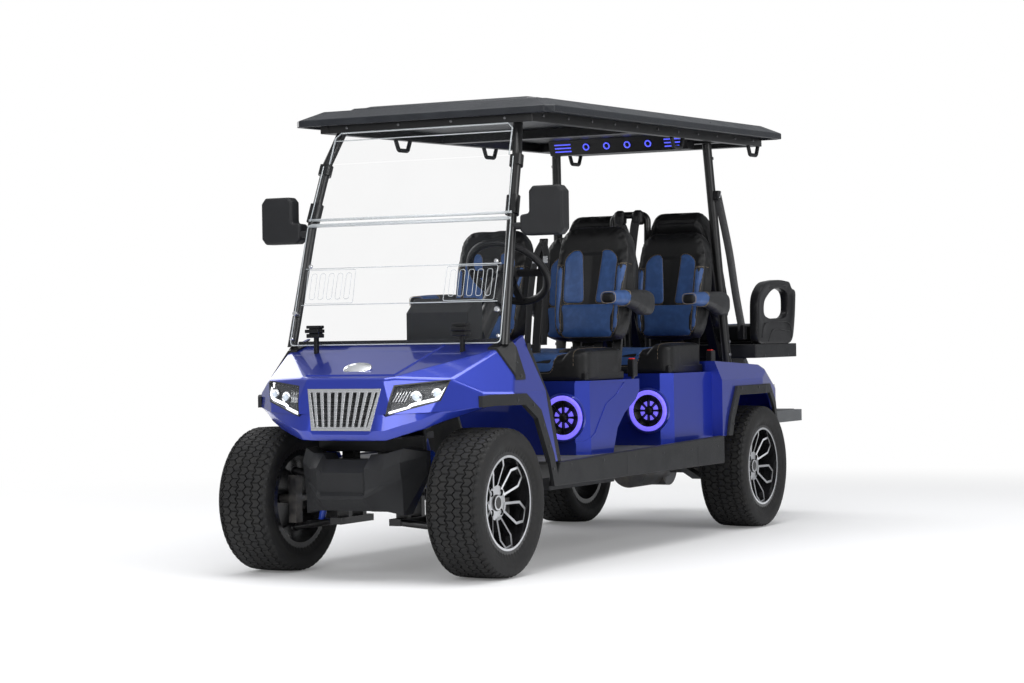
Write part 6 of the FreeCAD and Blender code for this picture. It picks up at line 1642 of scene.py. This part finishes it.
def make_stage():
    """Pale floor, the world's light and soft lamps."""
    bpy.context.scene.view_settings.view_transform = "Standard"
    span = looks().floor_size
    mesh = bpy.data.meshes.new("floor")
    mesh.from_pydata([(-span, -span, 0), (span, -span, 0), (span, span, 0), (-span, span, 0)], [],
                     [(0, 1, 2, 3)])
    floor = bpy.data.objects.new("floor", mesh)
    bpy.context.scene.collection.objects.link(floor)
    mesh.materials.append(floor_finish())
    world = bpy.data.worlds.new("studio")
    world.use_nodes = True
    bpy.context.scene.world = world
    tree = world.node_tree
    dome = tree.nodes["Background"]
    dome.inputs["Color"].default_value = (0.95, 0.97, 1.0, 1.0)
    dome.inputs["Strength"].default_value = 0.38
    seen = tree.nodes.new("ShaderNodeBackground")
    seen.inputs["Color"].default_value = (1.0, 1.0, 1.0, 1.0)
    path = tree.nodes.new("ShaderNodeLightPath")
    either = tree.nodes.new("ShaderNodeMath")
    either.operation = "MAXIMUM"
    tree.links.new(path.outputs["Is Camera Ray"], either.inputs[0])
    tree.links.new(path.outputs["Is Transmission Ray"], either.inputs[1])
    joined = tree.nodes.new("ShaderNodeMixShader")
    tree.links.new(either.outputs[0], joined.inputs[0])
    tree.links.new(dome.outputs[0], joined.inputs[1])
    tree.links.new(seen.outputs[0], joined.inputs[2])
    tree.links.new(joined.outputs[0], tree.nodes["World Output"].inputs["Surface"])
    lamps = (
        ("top_softbox", (0.5, -0.5, 6.0), (0, 0, 0), 5.0, 330),
        ("front_softbox", (0.5, -7.5, 3.4), (0, -0.5, 0.6), 4.0, 210),
        ("side_softbox", (6.5, -1.5, 3.2), (0, 0, 0.6), 4.0, 190),
        ("far_softbox", (-6.0, 2.0, 3.5), (0, 0, 0.8), 4.0, 120),
    )
    for name, place, target, width, power in lamps:
        data = bpy.data.lights.new(name, "AREA")
        data.shape = "SQUARE"
        data.size = width
        data.energy = power
        lamp = bpy.data.objects.new(name, data)
        lamp.location = place
        lamp.rotation_mode = "QUATERNION"
        lamp.rotation_quaternion = (Vector(place) - Vector(target)).to_track_quat("Z", "Y")
        bpy.context.scene.collection.objects.link(lamp)


CAMERA_PLACE = (4.734, -9.361, 0.899)
CAMERA_AZIMUTH, CAMERA_PITCH, CAMERA_ROLL = 27.79, 0.13, -0.89
CAMERA_LENS = 84.3
IMAGE_WIDTH = 1024
IMAGE_SHIFT = (5.73, 0.25)


def make_camera():
    """The camera, at the photograph's place, turn and lens."""
    yaw, pitch, roll = (math.radians(a) for a in (CAMERA_AZIMUTH, CAMERA_PITCH, CAMERA_ROLL))
    back = Vector((math.sin(yaw) * math.cos(pitch), -math.cos(yaw) * math.cos(pitch), math.sin(pitch)))
    right = Vector((math.cos(yaw), math.sin(yaw), 0))
    up = back.cross(right)
    tilted_right = right * math.cos(roll) + up * math.sin(roll)
    tilted_up = up * math.cos(roll) - right * math.sin(roll)
    data = bpy.data.cameras.new("camera")
    data.lens = CAMERA_LENS
    data.shift_x = -IMAGE_SHIFT[0] / IMAGE_WIDTH
    data.shift_y = IMAGE_SHIFT[1] / IMAGE_WIDTH
    data.clip_end = 200
    camera = bpy.data.objects.new("camera", data)
    bpy.context.scene.collection.objects.link(camera)
    turn = Matrix((tilted_right, tilted_up, back)).transposed().to_4x4()
    camera.matrix_world = Matrix.Translation(CAMERA_PLACE) @ turn
    bpy.context.scene.camera = camera


class CartStep:
    """A step that runs its makers in order."""

    def execute(self, context):
        for make in self.makers:
            make()
        return {"FINISHED"}


class DressNodes(CartStep, bpy.types.Operator):
    """Gives every construction node its finish and softened edges"""

    bl_idname = "golf_cart.dress_nodes"
    bl_label = "Dress the construction"
    makers = (plain_dress, round_edges)


class MakeTyres(CartStep, bpy.types.Operator):
    """Makes four road tyres with cut treads"""

    bl_idname = "golf_cart.make_tyres"
    bl_label = "Tyres"
    makers = (make_tyres,)


class MakeSeats(CartStep, bpy.types.Operator):
    """Makes the stuffed backs and cushions of the two forward rows, and the rear backs"""

    bl_idname = "golf_cart.make_seats"
    bl_label = "Forward seats"
    makers = (make_seat_backs, make_cushions)


class MakeArms(CartStep, bpy.types.Operator):
    """Makes the armrests, the rear bench cushion and the side covers"""

    bl_idname = "golf_cart.make_arms"
    bl_label = "Armrests and bench"
    makers = (make_armrests, make_rear_cushion, make_side_covers)


class MakeLamps(CartStep, bpy.types.Operator):
    """Makes the speakers, the head and tail lamps and the overhead lights"""

    bl_idname = "golf_cart.make_lamps"
    bl_label = "Lamps and speakers"
    makers = (make_speakers, make_headlamps, make_tail_lamps, make_light_bar)


class MakeFront(CartStep, bpy.types.Operator):
    """Makes the nose's trim, the windshield's edges and vents and the dashboard's display"""

    bl_idname = "golf_cart.make_front"
    bl_label = "Nose and windshield"
    makers = (make_chin, make_nose_trim, make_windshield, make_dash_trim)


class MakeHardware(CartStep, bpy.types.Operator):
    """Makes the belts, the roof's trim and the bolts"""

    bl_idname = "golf_cart.make_hardware"
    bl_label = "Belts and hardware"
    makers = (make_belts, make_roof_trim, make_hardware)


class MakeStage(CartStep, bpy.types.Operator):
    """Makes the floor, the soft lamps and the camera"""

    bl_idname = "golf_cart.make_stage"
    bl_label = "Stage"
    makers = (make_stage, make_camera)


STEPS = (MakeStage, DressNodes, MakeTyres, MakeSeats, MakeArms, MakeLamps, MakeFront, MakeHardware)


class CartPanel(bpy.types.Panel):
    """Lists the settings and the steps"""

    bl_idname = "VIEW3D_PT_golf_cart"
    bl_label = "Golf cart"
    bl_space_type = "VIEW_3D"
    bl_region_type = "UI"
    bl_category = "Golf cart"

    def draw(self, context):
        for name in CartLooks.__annotations__:
            self.layout.prop(context.scene.cart_looks, name)
        for step in STEPS:
            self.layout.operator(step.bl_idname)


CLASSES = (CartLooks, *STEPS, CartPanel)


def register():
    for each in CLASSES:
        bpy.utils.register_class(each)
    bpy.types.Scene.cart_looks = bpy.props.PointerProperty(type=CartLooks)


def unregister():
    del bpy.types.Scene.cart_looks
    for each in reversed(CLASSES):
        bpy.utils.unregister_class(each)


def main():
    """Registers the add-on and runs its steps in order."""
    register()
    for step in STEPS:
        group, action = step.bl_idname.split(".")
        getattr(getattr(bpy.ops, group), action)()


if __name__ == "__main__":
    main()
